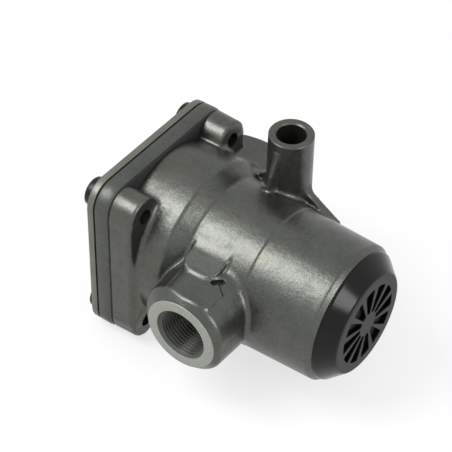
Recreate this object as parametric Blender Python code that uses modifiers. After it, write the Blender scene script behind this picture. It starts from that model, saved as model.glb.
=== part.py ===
"""Pressure limiting valve for compressed air, with its cover end, spring chamber and vent cap.

The origin is the middle of the footprint, on the plane that the square end stands on. +X runs
along the valve's own axis from the cover plate to the vent cap, +Z is the side of the tall
tubular boss, and -Y is the side of the outlet port. Every moving piece slides or turns on the
valve's own axis. The sizes below count X from the cover plate's outer face, and Y and Z from
that axis; the last step sets the whole valve on its base.
"""

import math

import bmesh
import bpy
from mathutils import Matrix, Vector

MM = 0.001
CLEAR = 0.3 * MM  # gap between pieces that touch on the real valve
OVERLAP = 2.0 * MM  # how far cutters and joined shapes run past a wall
STEPS = 72  # facets round the body
FINE_STEPS = 32  # facets round the small pieces

# Square cover end, as a stack along X
FLANGE_SIDE = 78.0 * MM
FLANGE_CORNER = 10.4 * MM
SCREW_EDGE = 9.5 * MM
PLATE_THICK = 3.0 * MM
GASKET_THICK = 0.4 * MM
GASKET_INSET = 0.6 * MM
COVER_THICK = 6.15 * MM
COVER_EDGE = 0.6 * MM
COVER_EDGE_LENGTH = 1.15 * MM
COVER_BOSS_RADIUS = 12.5 * MM
COVER_BOSS_HEIGHT = 1.85 * MM
SPIGOT_HEIGHT = 2.5 * MM
SPIGOT_WALL = 4.0 * MM

# Cover screws, hexagon socket M6 x 20 with wide low heads
SCREW_RADIUS = 3.0 * MM
SCREW_LENGTH = 20.0 * MM
HEAD_RADIUS = 6.3 * MM
HEAD_HEIGHT = 4.0 * MM
HEAD_CHAMFER = 0.6 * MM
SOCKET_FLATS = 5.0 * MM
SOCKET_DEPTH = 2.6 * MM

# Body casting, outside
POST_RADIUS = 8.7 * MM
POST_TAPER = 0.4 * MM
POST_LENGTH = 10.85 * MM
POST_CHAMFER = 1.1 * MM
WALL_INSET = 0.4 * MM
WALL_EDGE = 2.2 * MM
SHOULDER_RADIUS = 36.9 * MM
SHOULDER_LENGTH = 22.25 * MM
STEP_LENGTH = 6.6 * MM
BARREL_RADIUS = 31.9 * MM
BARREL_LENGTH = 28.5 * MM
NOSE_LENGTH = 34.8 * MM
BARREL_DRAFT = 0.0262  # loss of radius for each unit of length
WITNESS_STEP = 0.25 * MM
RIM_CHAMFER = 1.7 * MM
RIM_LENGTH = 2.2 * MM

# Body casting, inside
INLET_BORE = 30.0 * MM
PARTITION_THICK = 6.0 * MM
INLET_DEPTH = 18.85 * MM
SEAT_RADIUS = 8.5 * MM
SEAT_LIP_WIDTH = 1.6 * MM
SEAT_LIP_HEIGHT = 1.2 * MM
LEDGE_WIDTH = 1.5 * MM
OUTLET_LENGTH = 28.0 * MM
BARREL_WALL = 5.9 * MM

# Ports, M22 x 1.5, each with a machined ring round its mouth
PORT_REACH = 49.9 * MM
PORT_RING = 16.2 * MM
PORT_THREAD = 11.0 * MM
PORT_MOUTH = 11.6 * MM
PORT_THREAD_DEPTH = 16.0 * MM
PORT_FLOOR_RADIUS = 7.8 * MM
PORT_RAISED = 0.3 * MM
OUTLET_X = 55.3 * MM
OUTLET_PASSAGE = 6.8 * MM
BOSS_HALF_WIDTH = 19.0 * MM
BOSS_SHIFT = 1.0 * MM
BOSS_HALF_HEIGHT = 18.4 * MM
BOSS_CORNER = 15.8 * MM
BOSS_DRAFT = 0.035  # growth of the half width for each unit towards the barrel
BOSS_FLAT_RAISED = 0.2 * MM
BOSS_FLAT_DEPTH = 6.0 * MM
BOSS_SLOPE = 2.6 * MM
INLET_X = 27.5 * MM
INLET_RING = 15.4 * MM
INLET_HALF_WIDTH = 16.0 * MM
INLET_HALF_HEIGHT = 19.0 * MM
INLET_CORNER = 6.0 * MM
INLET_PASSAGE = 6.2 * MM
INLET_PASSAGE_SHIFT = 4.2 * MM

# Tall tubular boss with its ribs
TUBE_X = 53.2 * MM
TUBE_Y = 26.3 * MM
TUBE_TOP = 51.5 * MM
TUBE_RADIUS = 9.4 * MM
TUBE_FOOT_RADIUS = 9.8 * MM
TUBE_HOLE = 6.1 * MM
TUBE_DEPTH = 29.5 * MM
TUBE_CHAMFER = 0.5 * MM
RIB_THICK = 3.4 * MM
FRONT_RIB_REACH = 25.0 * MM
FRONT_RIB_TOP = 25.8 * MM
REAR_RIB_REACH = 22.0 * MM
REAR_RIB_TOP = 26.0 * MM
REAR_RIB_END = 20.0 * MM
SPUR_ANGLE = math.radians(255)
SPUR_THICK = 2.4 * MM
SPUR_REACH = 3.2 * MM
SPUR_TOP = 42.0 * MM
SPUR_FOOT = 27.0 * MM

# Raised blank pad between the outlet boss and the barrel
PAD_X = 49.0 * MM
PAD_LENGTH = 19.0 * MM
PAD_WIDTH = 9.5 * MM
PAD_CORNER = 3.5 * MM
PAD_ANGLE = math.radians(148)
PAD_RAISED = 0.5 * MM

# Inlet valve with its guide, seals and spring
VALVE_LIFT = 2.0 * MM
VALVE_HEAD_RADIUS = 12.3 * MM
VALVE_HEAD_DEPTH = 5.5 * MM
VALVE_TAIL_RADIUS = 4.0 * MM
VALVE_TAIL_LENGTH = 11.2 * MM
SEAL_RADIUS = 11.0 * MM
SEAL_THICK = 3.5 * MM
SEAL_PROUD = 1.0 * MM
GUIDE_RADIUS = 7.7 * MM
GUIDE_FLANGE_RADIUS = 10.5 * MM
GUIDE_FLANGE_THICK = 1.5 * MM
GUIDE_NOSE_RADIUS = 6.0 * MM
GUIDE_NOSE_LENGTH = 4.2 * MM
GUIDE_LEDGE_DEPTH = 2.5 * MM
GUIDE_LEDGE_RADIUS = 5.0 * MM
RING_CORD = 1.4 * MM
TAIL_RING_CORD = 1.3 * MM
VALVE_WIRE = 1.2 * MM
VALVE_COIL_RADIUS = 8.0 * MM
VALVE_COIL_TURNS = 3

# Piston with its hollow stem, seal and guide ring
CROWN_THICK = 4.7 * MM
SKIRT_LENGTH = 21.7 * MM
CUP_WALL = 4.5 * MM
STEM_RADIUS = 5.5 * MM
STEM_BORE = 2.6 * MM
STEM_TIP_WIDTH = 1.2 * MM
STEM_TIP_TAPER = 1.7 * MM
PISTON_RING_CORD = 2.2 * MM
PISTON_RING_BACK = 2.2 * MM
GROOVE_WIDTH = 3.2 * MM
GROOVE_DEPTH = 2.5 * MM
BAND_BACK = 13.7 * MM
BAND_WIDTH = 3.4 * MM
BAND_DEPTH = 1.0 * MM

# Setpoint spring, its seat and the adjusting screw
SPRING_WIRE = 3.2 * MM
SPRING_GAP = 3.3 * MM
SPRING_TURNS = 3.5
SPRING_SPACE = 20.7 * MM
SEAT_PLATE_GAP = 1.5 * MM
SEAT_PLATE_THICK = 2.2 * MM
PILOT_HEIGHT = 2.5 * MM
TIP_RECESS = 2.0 * MM
ADJUST_RADIUS = 5.0 * MM
ADJUST_LENGTH = 14.0 * MM
ADJUST_OUT = 1.5 * MM
NUT_FLATS = 17.0 * MM
NUT_HEIGHT = 4.5 * MM
BRIDGE_THICK = 3.0 * MM
BRIDGE_HUB_RADIUS = 9.0 * MM
BRIDGE_HUB_HEIGHT = 1.5 * MM
BRIDGE_VENTS = 6
BRIDGE_VENT_RADIUS = 4.0 * MM
CIRCLIP_THICK = 1.2 * MM
CIRCLIP_WIDTH = 3.4 * MM
CIRCLIP_GROOVE = 1.2 * MM
CIRCLIP_OPENING = 9.0 * MM

# Vent cap and the flap behind its windows
CAP_RIM = 2.4 * MM
CAP_SLOPE = 6.1 * MM
CAP_HEIGHT = 7.5 * MM
CAP_BAND = 0.5 * MM
CAP_EDGE = 0.5 * MM
CAP_WALL = 2.1 * MM
CAP_SKIRT_LENGTH = 3.2 * MM
CAP_SKIRT_WALL = 1.8 * MM
WINDOW_INNER = 5.5 * MM
FACE_BORDER = 4.7 * MM
WINDOWS = 12
WINDOW_ANGLE = math.radians(21)
PIN_RADIUS = 2.0 * MM
PIN_HEAD_RADIUS = 3.6 * MM
PIN_HEAD_THICK = 0.8 * MM
FLAP_LAP = 1.4 * MM
FLAP_THICK = 0.8 * MM

# Sizes across the axis that follow from those above
SCREW_PITCH = FLANGE_SIDE - 2 * SCREW_EDGE
PISTON_BORE = BARREL_RADIUS - BARREL_WALL
OUTLET_BORE = PISTON_BORE - LEDGE_WIDTH
CUP_RADIUS = PISTON_BORE - CUP_WALL
SPRING_RADIUS = CUP_RADIUS - SPRING_GAP - SPRING_WIRE / 2
SEAT_PLATE_RADIUS = CUP_RADIUS - SEAT_PLATE_GAP
CAP_RADIUS = PISTON_BORE + CAP_RIM
CAP_FACE_RADIUS = CAP_RADIUS - CAP_SLOPE
WINDOW_OUTER = CAP_FACE_RADIUS - FACE_BORDER
FLAP_RADIUS = WINDOW_OUTER + FLAP_LAP

# Places along X that follow from the sizes above
COVER_GASKET_X = PLATE_THICK + CLEAR
COVER_X = COVER_GASKET_X + GASKET_THICK + CLEAR
COVER_END = COVER_X + COVER_THICK
BODY_GASKET_X = COVER_END + CLEAR
BODY_X = BODY_GASKET_X + GASKET_THICK + CLEAR
SHOULDER_END = BODY_X + SHOULDER_LENGTH
STEP_END = SHOULDER_END + STEP_LENGTH
WITNESS_X = STEP_END + BARREL_LENGTH
BODY_END = WITNESS_X + NOSE_LENGTH
INLET_END = BODY_X + INLET_DEPTH
PARTITION_END = INLET_END + PARTITION_THICK
LEDGE_X = PARTITION_END + OUTLET_LENGTH
PISTON_X = LEDGE_X + CLEAR
CUP_X = PISTON_X + CROWN_THICK
SEAL_FACE_X = INLET_END - SEAT_LIP_HEIGHT - CLEAR - VALVE_LIFT
SEAL_X = SEAL_FACE_X - SEAL_THICK
VALVE_X = SEAL_FACE_X - SEAL_PROUD - VALVE_HEAD_DEPTH
STEM_TIP_X = SEAL_FACE_X + CLEAR
COVER_BOSS_END = COVER_END + COVER_BOSS_HEIGHT
GUIDE_X = COVER_X + GUIDE_LEDGE_DEPTH + CLEAR
GUIDE_FLANGE_X = COVER_BOSS_END + CLEAR
GUIDE_NOSE_X = GUIDE_FLANGE_X + GUIDE_FLANGE_THICK
SEAT_PLATE_X = CUP_X + CLEAR + SPRING_SPACE
SEAT_PLATE_END = SEAT_PLATE_X + SEAT_PLATE_THICK
HUB_X = SEAT_PLATE_END + ADJUST_OUT + CLEAR
BRIDGE_X = HUB_X + BRIDGE_HUB_HEIGHT
BRIDGE_END = BRIDGE_X + BRIDGE_THICK
CIRCLIP_X = BRIDGE_END + CLEAR
CIRCLIP_END = CIRCLIP_X + CIRCLIP_THICK
ADJUST_X = SEAT_PLATE_END - TIP_RECESS + CLEAR
CAP_X = BODY_END + CLEAR
CAP_END = CAP_X + CAP_HEIGHT
FLAP_X = CAP_END - CAP_WALL - CLEAR - FLAP_THICK

SCREW_PLACES = [
    (side_y * SCREW_PITCH / 2, side_z * SCREW_PITCH / 2)
    for side_z in (1, -1)
    for side_y in (-1, 1)
]


def clear_scene():
    for obj in list(bpy.data.objects):
        bpy.data.objects.remove(obj, do_unlink=True)


def new_collection(name):
    collection = bpy.data.collections.new(name)
    bpy.context.scene.collection.children.link(collection)
    return collection


clear_scene()
PIECES = new_collection("pressure_limiting_valve")
CUTTERS = new_collection("cutters")


def material(name, colour, roughness, metallic):
    made = bpy.data.materials.new(name)
    made.use_nodes = True
    shader = made.node_tree.nodes["Principled BSDF"]
    shader.inputs["Base Color"].default_value = (*colour, 1.0)
    shader.inputs["Roughness"].default_value = roughness
    shader.inputs["Metallic"].default_value = metallic
    return made


CAST = material("die_cast_aluminium", (0.115, 0.122, 0.108), 0.42, 0.85)
COVER_CAST = material("cover_casting", (0.075, 0.084, 0.088), 0.45, 0.8)
ZINC = material("zinc_plated_steel", (0.26, 0.29, 0.23), 0.4, 0.9)
BLACK_STEEL = material("black_oxide_steel", (0.012, 0.012, 0.014), 0.4, 0.7)
BRASS = material("brass", (0.45, 0.31, 0.11), 0.35, 1.0)
RUBBER = material("black_rubber", (0.012, 0.012, 0.012), 0.75, 0.0)
GASKET = material("gasket_sheet", (0.02, 0.022, 0.02), 0.8, 0.0)
SPRING_STEEL = material("spring_steel", (0.16, 0.16, 0.165), 0.35, 1.0)
TURNED_ALUMINIUM = material("turned_aluminium", (0.5, 0.5, 0.5), 0.3, 1.0)
LOW_FRICTION = material("low_friction_band", (0.05, 0.1, 0.06), 0.6, 0.0)
BLACK_PLASTIC = material("black_plastic", (0.014, 0.014, 0.014), 0.3, 0.0)


def place(name, mesh, finish, location=(0, 0, 0), turn=(0, 0, 0)):
    """Puts a mesh in the scene: a named piece when it has a finish, and a helper shape otherwise."""
    obj = bpy.data.objects.new(name, mesh)
    obj.location = location
    obj.rotation_euler = turn
    if finish is None:
        obj.hide_render = True
        obj.display_type = "WIRE"
        CUTTERS.objects.link(obj)
    else:
        mesh.materials.append(finish)
        PIECES.objects.link(obj)
    return obj


def mesh_from(name, shape):
    mesh = bpy.data.meshes.new(name)
    bmesh.ops.recalc_face_normals(shape, faces=shape.faces)
    if shape.calc_volume(signed=True) < 0:
        bmesh.ops.reverse_faces(shape, faces=shape.faces)
    shape.to_mesh(mesh)
    shape.free()
    return mesh


def combine(obj, operation, *others):
    for other in others:
        step = obj.modifiers.new(other.name, "BOOLEAN")
        step.operation = operation
        step.object = other


def turned(name, outline, finish=None, location=(0, 0, 0), steps=STEPS, along="X"):
    """A turned shape from a closed outline of (radius, distance along the axis) points."""
    area = sum(
        a[0] * b[1] - b[0] * a[1] for a, b in zip(outline, outline[1:] + outline[:1])
    )
    points = outline[::-1] if area > 0 else outline
    mesh = bpy.data.meshes.new(name)
    count = len(points)
    mesh.from_pydata(
        [(radius, 0, distance) for radius, distance in points],
        [(i, (i + 1) % count) for i in range(count)],
        [],
    )
    turn = (0, math.pi / 2, 0) if along == "X" else (0, 0, 0)
    obj = place(name, mesh, finish, location, turn)
    screw = obj.modifiers.new("turn", "SCREW")
    screw.steps = screw.render_steps = steps
    screw.use_merge_vertices = True
    screw.merge_threshold = 0.00001
    screw.use_smooth_shade = False
    return obj


def rod(name, radius, start, end, steps=FINE_STEPS, finish=None):
    """A plain cylinder between two points."""
    start, end = Vector(start), Vector(end)
    shape = bmesh.new()
    bmesh.ops.create_cone(
        shape,
        cap_ends=True,
        segments=steps,
        radius1=radius,
        radius2=radius,
        depth=(end - start).length,
    )
    turn = Vector((0, 0, 1)).rotation_difference(end - start).to_matrix().to_4x4()
    shape.transform(Matrix.Translation((start + end) / 2) @ turn)
    return place(name, mesh_from(name, shape), finish)


def block(name, low, high, finish=None, edges_along=None, radius=0.0, segments=6):
    """A box between two corners, with the edges along one axis rounded."""
    low, high = Vector(low), Vector(high)
    shape = bmesh.new()
    bmesh.ops.create_cube(shape, size=1.0)
    size = high - low
    shape.transform(Matrix.Translation((low + high) / 2) @ Matrix.Diagonal((*size, 1)))
    if edges_along is not None:
        axis = "XYZ".index(edges_along)
        chosen = [
            edge
            for edge in shape.edges
            if abs((edge.verts[0].co - edge.verts[1].co)[axis]) > size[axis] / 2
        ]
        bmesh.ops.bevel(
            shape, geom=chosen, offset=radius, segments=segments, profile=0.5, affect="EDGES"
        )
    return place(name, mesh_from(name, shape), finish)


def prism(name, points, push, finish=None):
    """A flat outline of 3D points pushed along a vector, as a closed solid."""
    shape = bmesh.new()
    face = shape.faces.new([shape.verts.new(Vector(point)) for point in points])
    pushed = bmesh.ops.extrude_face_region(shape, geom=[face])
    moved = [item for item in pushed["geom"] if isinstance(item, bmesh.types.BMVert)]
    bmesh.ops.translate(shape, verts=moved, vec=Vector(push))
    return place(name, mesh_from(name, shape), finish)


def loft(name, sections, finish=None):
    """A closed solid through outlines that have the same number of points."""
    shape = bmesh.new()
    rows = [[shape.verts.new(point) for point in section] for section in sections]
    count = len(rows[0])
    for row, following in zip(rows, rows[1:]):
        for i in range(count):
            j = (i + 1) % count
            shape.faces.new((row[i], row[j], following[j], following[i]))
    shape.faces.new(rows[0])
    shape.faces.new(rows[-1])
    return place(name, mesh_from(name, shape), finish)


def coil(name, wire, radius, start, length, turns, finish, sides=2, per_turn=16):
    """A round wire wound about the X axis, with its ends closed."""
    curve = bpy.data.curves.new(name, "CURVE")
    curve.dimensions = "3D"
    curve.bevel_depth = wire / 2
    curve.bevel_resolution = sides
    curve.use_fill_caps = True
    count = int(turns * per_turn) + 1
    spline = curve.splines.new("POLY")
    spline.points.add(count - 1)
    for i, point in enumerate(spline.points):
        angle = 2 * math.pi * i / per_turn
        along = start + wire / 2 + (length - wire) * i / (count - 1)
        point.co = (along, radius * math.cos(angle), radius * math.sin(angle), 1)
    curve.materials.append(finish)
    obj = bpy.data.objects.new(name, curve)
    PIECES.objects.link(obj)
    return obj


def cord_ring(name, cord, radius, x, finish, sides=10, steps=FINE_STEPS):
    """A ring of round section about the X axis."""
    outline = [
        (
            radius + cord / 2 * math.cos(2 * math.pi * i / sides),
            cord / 2 * math.sin(2 * math.pi * i / sides),
        )
        for i in range(sides)
    ]
    return turned(name, outline, finish, (x, 0, 0), steps)


def screw_holes(name, start, end):
    """Four clearance holes on the screw pattern, as one cutter."""
    shape = bmesh.new()
    for y, z in SCREW_PLACES:
        made = bmesh.ops.create_cone(
            shape,
            cap_ends=True,
            segments=24,
            radius1=SCREW_RADIUS + CLEAR,
            radius2=SCREW_RADIUS + CLEAR,
            depth=end - start,
        )
        spot = Matrix.Translation(((start + end) / 2, y, z)) @ Matrix.Rotation(
            math.pi / 2, 4, "Y"
        )
        bmesh.ops.transform(shape, matrix=spot, verts=made["verts"])
    return place(name, mesh_from(name, shape), None)


def flange_outline(x, inset, per_corner=7):
    """Points of the square end's outline, with rounded corners, in the plane at x."""
    half = FLANGE_SIDE / 2 - inset
    corner = FLANGE_CORNER - inset
    points = []
    for quarter in range(4):
        side_y = math.copysign(1, math.cos(math.pi / 2 * (quarter + 0.5)))
        side_z = math.copysign(1, math.sin(math.pi / 2 * (quarter + 0.5)))
        for i in range(per_corner):
            angle = math.pi / 2 * (quarter + i / (per_corner - 1))
            y = side_y * (half - corner) + corner * math.cos(angle)
            z = side_z * (half - corner) + corner * math.sin(angle)
            points.append((x, y, z))
    return points


def flange_plate(name, start, thick, inset, finish, edge=0.0, edge_length=0.0):
    """A square plate with the four screw holes; its outline can slope in next to the body."""
    outlines = [flange_outline(start, inset), flange_outline(start + thick, inset + edge)]
    if edge_length:
        outlines.insert(1, flange_outline(start + thick - edge_length, inset))
    plate = loft(name, outlines, finish)
    holes = screw_holes(name + "_holes", start - OVERLAP, start + thick + OVERLAP)
    combine(plate, "DIFFERENCE", holes)
    return plate


def cover_plate():
    flange_plate("cover_plate", 0, PLATE_THICK, 0, ZINC)


def cover_gasket():
    gasket = flange_plate(
        "cover_gasket", COVER_GASKET_X, GASKET_THICK, GASKET_INSET, GASKET
    )
    start = (COVER_GASKET_X - OVERLAP, 0, 0)
    end = (COVER_GASKET_X + OVERLAP, 0, 0)
    combine(gasket, "DIFFERENCE", rod("cover_gasket_bore", COVER_BOSS_RADIUS, start, end))


def body_gasket():
    gasket = flange_plate(
        "body_gasket", BODY_GASKET_X, GASKET_THICK, GASKET_INSET, GASKET
    )
    start = (BODY_GASKET_X - OVERLAP, 0, 0)
    end = (BODY_GASKET_X + OVERLAP, 0, 0)
    bore = rod("body_gasket_bore", INLET_BORE + CLEAR, start, end, STEPS)
    combine(gasket, "DIFFERENCE", bore)


def end_cover():
    """The thick cover: a hub bored for the valve guide, and a spigot that centres it in the body."""
    cover = flange_plate(
        "end_cover", COVER_X, COVER_THICK, 0, COVER_CAST, COVER_EDGE, COVER_EDGE_LENGTH
    )
    inside = COVER_END - OVERLAP
    hub = rod(
        "cover_hub", COVER_BOSS_RADIUS, (inside, 0, 0), (COVER_BOSS_END, 0, 0), STEPS
    )
    outer = INLET_BORE - CLEAR
    inner = outer - SPIGOT_WALL
    spigot_end = COVER_END + SPIGOT_HEIGHT
    spigot = turned(
        "cover_spigot",
        [(inner, inside), (outer, inside), (outer, spigot_end), (inner, spigot_end)],
    )
    combine(cover, "UNION", hub, spigot)
    bore_radius = GUIDE_RADIUS + CLEAR
    ledge = COVER_X + GUIDE_LEDGE_DEPTH
    bore = turned(
        "guide_bore",
        [
            (0, COVER_X - OVERLAP),
            (GUIDE_LEDGE_RADIUS, COVER_X - OVERLAP),
            (GUIDE_LEDGE_RADIUS, ledge),
            (bore_radius, ledge),
            (bore_radius, COVER_BOSS_END + OVERLAP),
            (0, COVER_BOSS_END + OVERLAP),
        ],
        steps=FINE_STEPS,
    )
    combine(cover, "DIFFERENCE", bore)


def cover_screw(number, y, z):
    """A hexagon socket screw whose head bears on the cover plate."""
    name = f"cover_screw_{number}"
    under = -CLEAR
    top = under - HEAD_HEIGHT
    tip = under + SCREW_LENGTH
    screw = turned(
        name,
        [
            (0, top),
            (HEAD_RADIUS - HEAD_CHAMFER, top),
            (HEAD_RADIUS, top + HEAD_CHAMFER),
            (HEAD_RADIUS, under),
            (SCREW_RADIUS, under),
            (SCREW_RADIUS, tip - HEAD_CHAMFER),
            (SCREW_RADIUS - HEAD_CHAMFER, tip),
            (0, tip),
        ],
        BLACK_STEEL,
        (0, y, z),
        24,
    )
    socket = rod(
        name + "_socket",
        SOCKET_FLATS / math.sqrt(3),
        (top - OVERLAP, y, z),
        (top + SOCKET_DEPTH, y, z),
        6,
    )
    combine(screw, "DIFFERENCE", socket)


def barrel_radius(x):
    return BARREL_RADIUS - BARREL_DRAFT * (x - STEP_END)


def body_shell():
    """The solid of revolution that the casting starts from."""
    nose_start = barrel_radius(WITNESS_X) - WITNESS_STEP
    nose_end = barrel_radius(BODY_END) - WITNESS_STEP
    return turned(
        "valve_body",
        [
            (0, BODY_X),
            (SHOULDER_RADIUS, BODY_X),
            (SHOULDER_RADIUS, SHOULDER_END),
            (BARREL_RADIUS, STEP_END),
            (barrel_radius(WITNESS_X), WITNESS_X),
            (nose_start, WITNESS_X + WITNESS_STEP),
            (nose_end, BODY_END - RIM_LENGTH),
            (nose_end - RIM_CHAMFER, BODY_END),
            (0, BODY_END),
        ],
        CAST,
    )


def corner_posts():
    """Round posts behind the flange corners, tapped for the cover screws."""
    end = BODY_X + POST_LENGTH
    end_radius = POST_RADIUS - POST_TAPER
    for number, (y, z) in enumerate(SCREW_PLACES, 1):
        yield turned(
            f"corner_post_{number}",
            [
                (0, BODY_X),
                (POST_RADIUS, BODY_X),
                (end_radius, end - POST_CHAMFER),
                (end_radius - POST_CHAMFER, end),
                (0, end),
            ],
            None,
            (0, y, z),
            40,
        )


def side_walls():
    """The flat walls that join the posts on the two sides of the parting plane."""
    half = FLANGE_SIDE / 2 - WALL_INSET
    low = SHOULDER_RADIUS / 2
    end = BODY_X + POST_LENGTH
    reach = SCREW_PITCH / 2
    for side, name in ((-1, "near_wall"), (1, "far_wall")):
        points = [
            (BODY_X, side * low, -reach),
            (BODY_X, side * half, -reach),
            (end - WALL_EDGE, side * half, -reach),
            (end - WALL_EDGE / 3, side * (half - WALL_EDGE / 3), -reach),
            (end, side * (half - WALL_EDGE), -reach),
            (end, side * low, -reach),
        ]
        yield prism(name, points, (0, 0, 2 * reach))


def rounded_outline(centre_x, y, half_width, half_height, corner, per_corner=9):
    """Points of a rounded rectangle in the XZ plane, and of a circle when the corner fills it."""
    points = []
    for quarter in range(4):
        for i in range(per_corner):
            share = i / (per_corner - 1)
            if corner >= half_width:
                share = (i + 0.5) / per_corner
            angle = math.pi / 2 * (quarter + share)
            side_x = math.copysign(1, math.cos(math.pi / 2 * (quarter + 0.5)))
            side_z = math.copysign(1, math.sin(math.pi / 2 * (quarter + 0.5)))
            x = centre_x + side_x * (half_width - corner) + corner * math.cos(angle)
            z = side_z * (half_height - corner) + corner * math.sin(angle)
            points.append(Vector((x, y, z)))
    return points


def port_boss(name, x, side, half_width, half_height, corner, ring, shift=0.0, draft=0.0):
    """A rounded square boss whose end slopes in to the machined ring round the port."""
    face = side * PORT_REACH
    raised = face - side * PORT_RAISED
    shoulder = raised - side * BOSS_SLOPE
    inside = side * OUTLET_BORE
    lip = ring - PORT_RAISED
    grown = draft * abs(shoulder - inside)
    middle = x - shift
    return loft(
        name,
        [
            rounded_outline(middle, inside, half_width + grown, half_height, corner),
            rounded_outline(middle, shoulder, half_width, half_height, corner),
            rounded_outline(x, raised, ring, ring, ring),
            rounded_outline(x, face, lip, lip, lip),
        ],
    )


def boss_flat():
    """The raised flat on top of the outlet boss; its front and right edges overhang the curve."""
    top = BOSS_HALF_HEIGHT + BOSS_FLAT_RAISED
    outline = [
        (-9.5, 14.8),
        (3.0, 16.0),
        (6.0, 14.5),
        (10.8, 12.8),
        (11.2, 3.9),
        (8.0, 2.1),
        (3.1, 1.0),
        (-5.3, 1.0),
        (-9.5, 3.4),
    ]
    points = [
        (OUTLET_X + across * MM, back * MM - PORT_REACH, top - BOSS_FLAT_DEPTH)
        for across, back in outline
    ]
    return prism("boss_flat", points, (0, 0, BOSS_FLAT_DEPTH))


def port_bore(name, x, side):
    """The threaded bore of a port, to its major diameter, with a chamfered mouth."""
    mouth = PORT_MOUTH - PORT_THREAD
    floor = PORT_REACH - PORT_THREAD_DEPTH
    cone = PORT_THREAD - PORT_FLOOR_RADIUS
    outline = [
        (0, floor - cone / 2),
        (PORT_FLOOR_RADIUS, floor - cone / 2),
        (PORT_THREAD, floor),
        (PORT_THREAD, PORT_REACH - mouth),
        (PORT_MOUTH, PORT_REACH),
        (PORT_MOUTH, PORT_REACH + OVERLAP),
        (0, PORT_REACH + OVERLAP),
    ]
    bore = turned(name, outline, None, (x, 0, 0), 40, along="Z")
    bore.rotation_euler = (-side * math.pi / 2, 0, 0)
    return bore


def tube_boss():
    return turned(
        "tube_boss",
        [
            (0, 0),
            (TUBE_FOOT_RADIUS, 0),
            (TUBE_RADIUS, TUBE_TOP - TUBE_CHAMFER),
            (TUBE_RADIUS - TUBE_CHAMFER, TUBE_TOP),
            (0, TUBE_TOP),
        ],
        None,
        (TUBE_X, TUBE_Y, 0),
        44,
        along="Z",
    )


def tube_hole():
    floor = TUBE_TOP - TUBE_DEPTH
    return turned(
        "tube_hole",
        [
            (0, floor - TUBE_HOLE / 2),
            (TUBE_HOLE, floor),
            (TUBE_HOLE, TUBE_TOP - TUBE_CHAMFER),
            (TUBE_HOLE + TUBE_CHAMFER, TUBE_TOP),
            (TUBE_HOLE + TUBE_CHAMFER, TUBE_TOP + OVERLAP),
            (0, TUBE_TOP + OVERLAP),
        ],
        None,
        (TUBE_X, TUBE_Y, 0),
        36,
        along="Z",
    )


def tube_ribs():
    """Two upright webs along the barrel, and a small spur on the outlet side."""
    y = TUBE_Y - RIB_THICK / 2
    yield prism(
        "front_rib",
        [
            (TUBE_X, y, 0),
            (TUBE_X, y, FRONT_RIB_TOP + TUBE_RADIUS / 2),
            (TUBE_X + TUBE_RADIUS, y, FRONT_RIB_TOP),
            (TUBE_X + FRONT_RIB_REACH, y, BARREL_RADIUS / 2),
            (TUBE_X + FRONT_RIB_REACH, y, 0),
        ],
        (0, RIB_THICK, 0),
    )
    yield prism(
        "rear_rib",
        [
            (TUBE_X, y, 0),
            (TUBE_X, y, REAR_RIB_TOP),
            (TUBE_X - TUBE_RADIUS, y, REAR_RIB_TOP),
            (TUBE_X - REAR_RIB_REACH, y, REAR_RIB_END),
            (TUBE_X - REAR_RIB_REACH, y, 0),
        ],
        (0, RIB_THICK, 0),
    )
    inward = Vector((math.cos(SPUR_ANGLE), math.sin(SPUR_ANGLE), 0))
    across = Vector((inward.y, -inward.x, 0)) * SPUR_THICK
    root = Vector((TUBE_X, TUBE_Y, 0)) - across / 2
    tip = root + inward * (TUBE_RADIUS + SPUR_REACH)
    yield prism(
        "tube_spur",
        [
            root + Vector((0, 0, BARREL_RADIUS / 2)),
            root + Vector((0, 0, SPUR_TOP + SPUR_REACH)),
            root + inward * TUBE_RADIUS + Vector((0, 0, SPUR_TOP)),
            tip + Vector((0, 0, SPUR_FOOT)),
            tip + Vector((0, 0, BARREL_RADIUS / 2)),
        ],
        across,
    )


def blank_pad():
    """A rounded raised pad on the barrel beside the outlet boss."""
    top = barrel_radius(PAD_X) + PAD_RAISED
    pad = block(
        "blank_pad",
        (-PAD_LENGTH / 2, -PAD_WIDTH / 2, top - 3 * OVERLAP),
        (PAD_LENGTH / 2, PAD_WIDTH / 2, top),
        None,
        "Z",
        PAD_CORNER,
        5,
    )
    pad.location = (PAD_X, 0, 0)
    pad.rotation_euler = (PAD_ANGLE - math.pi / 2, 0, 0)
    return pad


def body_cavity():
    """The two chambers, the valve seat between them, the piston bore and the circlip groove."""
    lip = SEAT_RADIUS + SEAT_LIP_WIDTH
    lip_x = INLET_END - SEAT_LIP_HEIGHT
    groove = PISTON_BORE + CIRCLIP_GROOVE
    return turned(
        "body_cavity",
        [
            (0, BODY_X - OVERLAP),
            (INLET_BORE, BODY_X - OVERLAP),
            (INLET_BORE, INLET_END),
            (lip, INLET_END),
            (lip, lip_x),
            (SEAT_RADIUS, lip_x),
            (SEAT_RADIUS, PARTITION_END),
            (OUTLET_BORE, PARTITION_END),
            (OUTLET_BORE, LEDGE_X),
            (PISTON_BORE, LEDGE_X),
            (PISTON_BORE, CIRCLIP_X - CLEAR / 3),
            (groove, CIRCLIP_X - CLEAR / 3),
            (groove, CIRCLIP_END + CLEAR / 3),
            (PISTON_BORE, CIRCLIP_END + CLEAR / 3),
            (PISTON_BORE, BODY_END + OVERLAP),
            (0, BODY_END + OVERLAP),
        ],
    )


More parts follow.
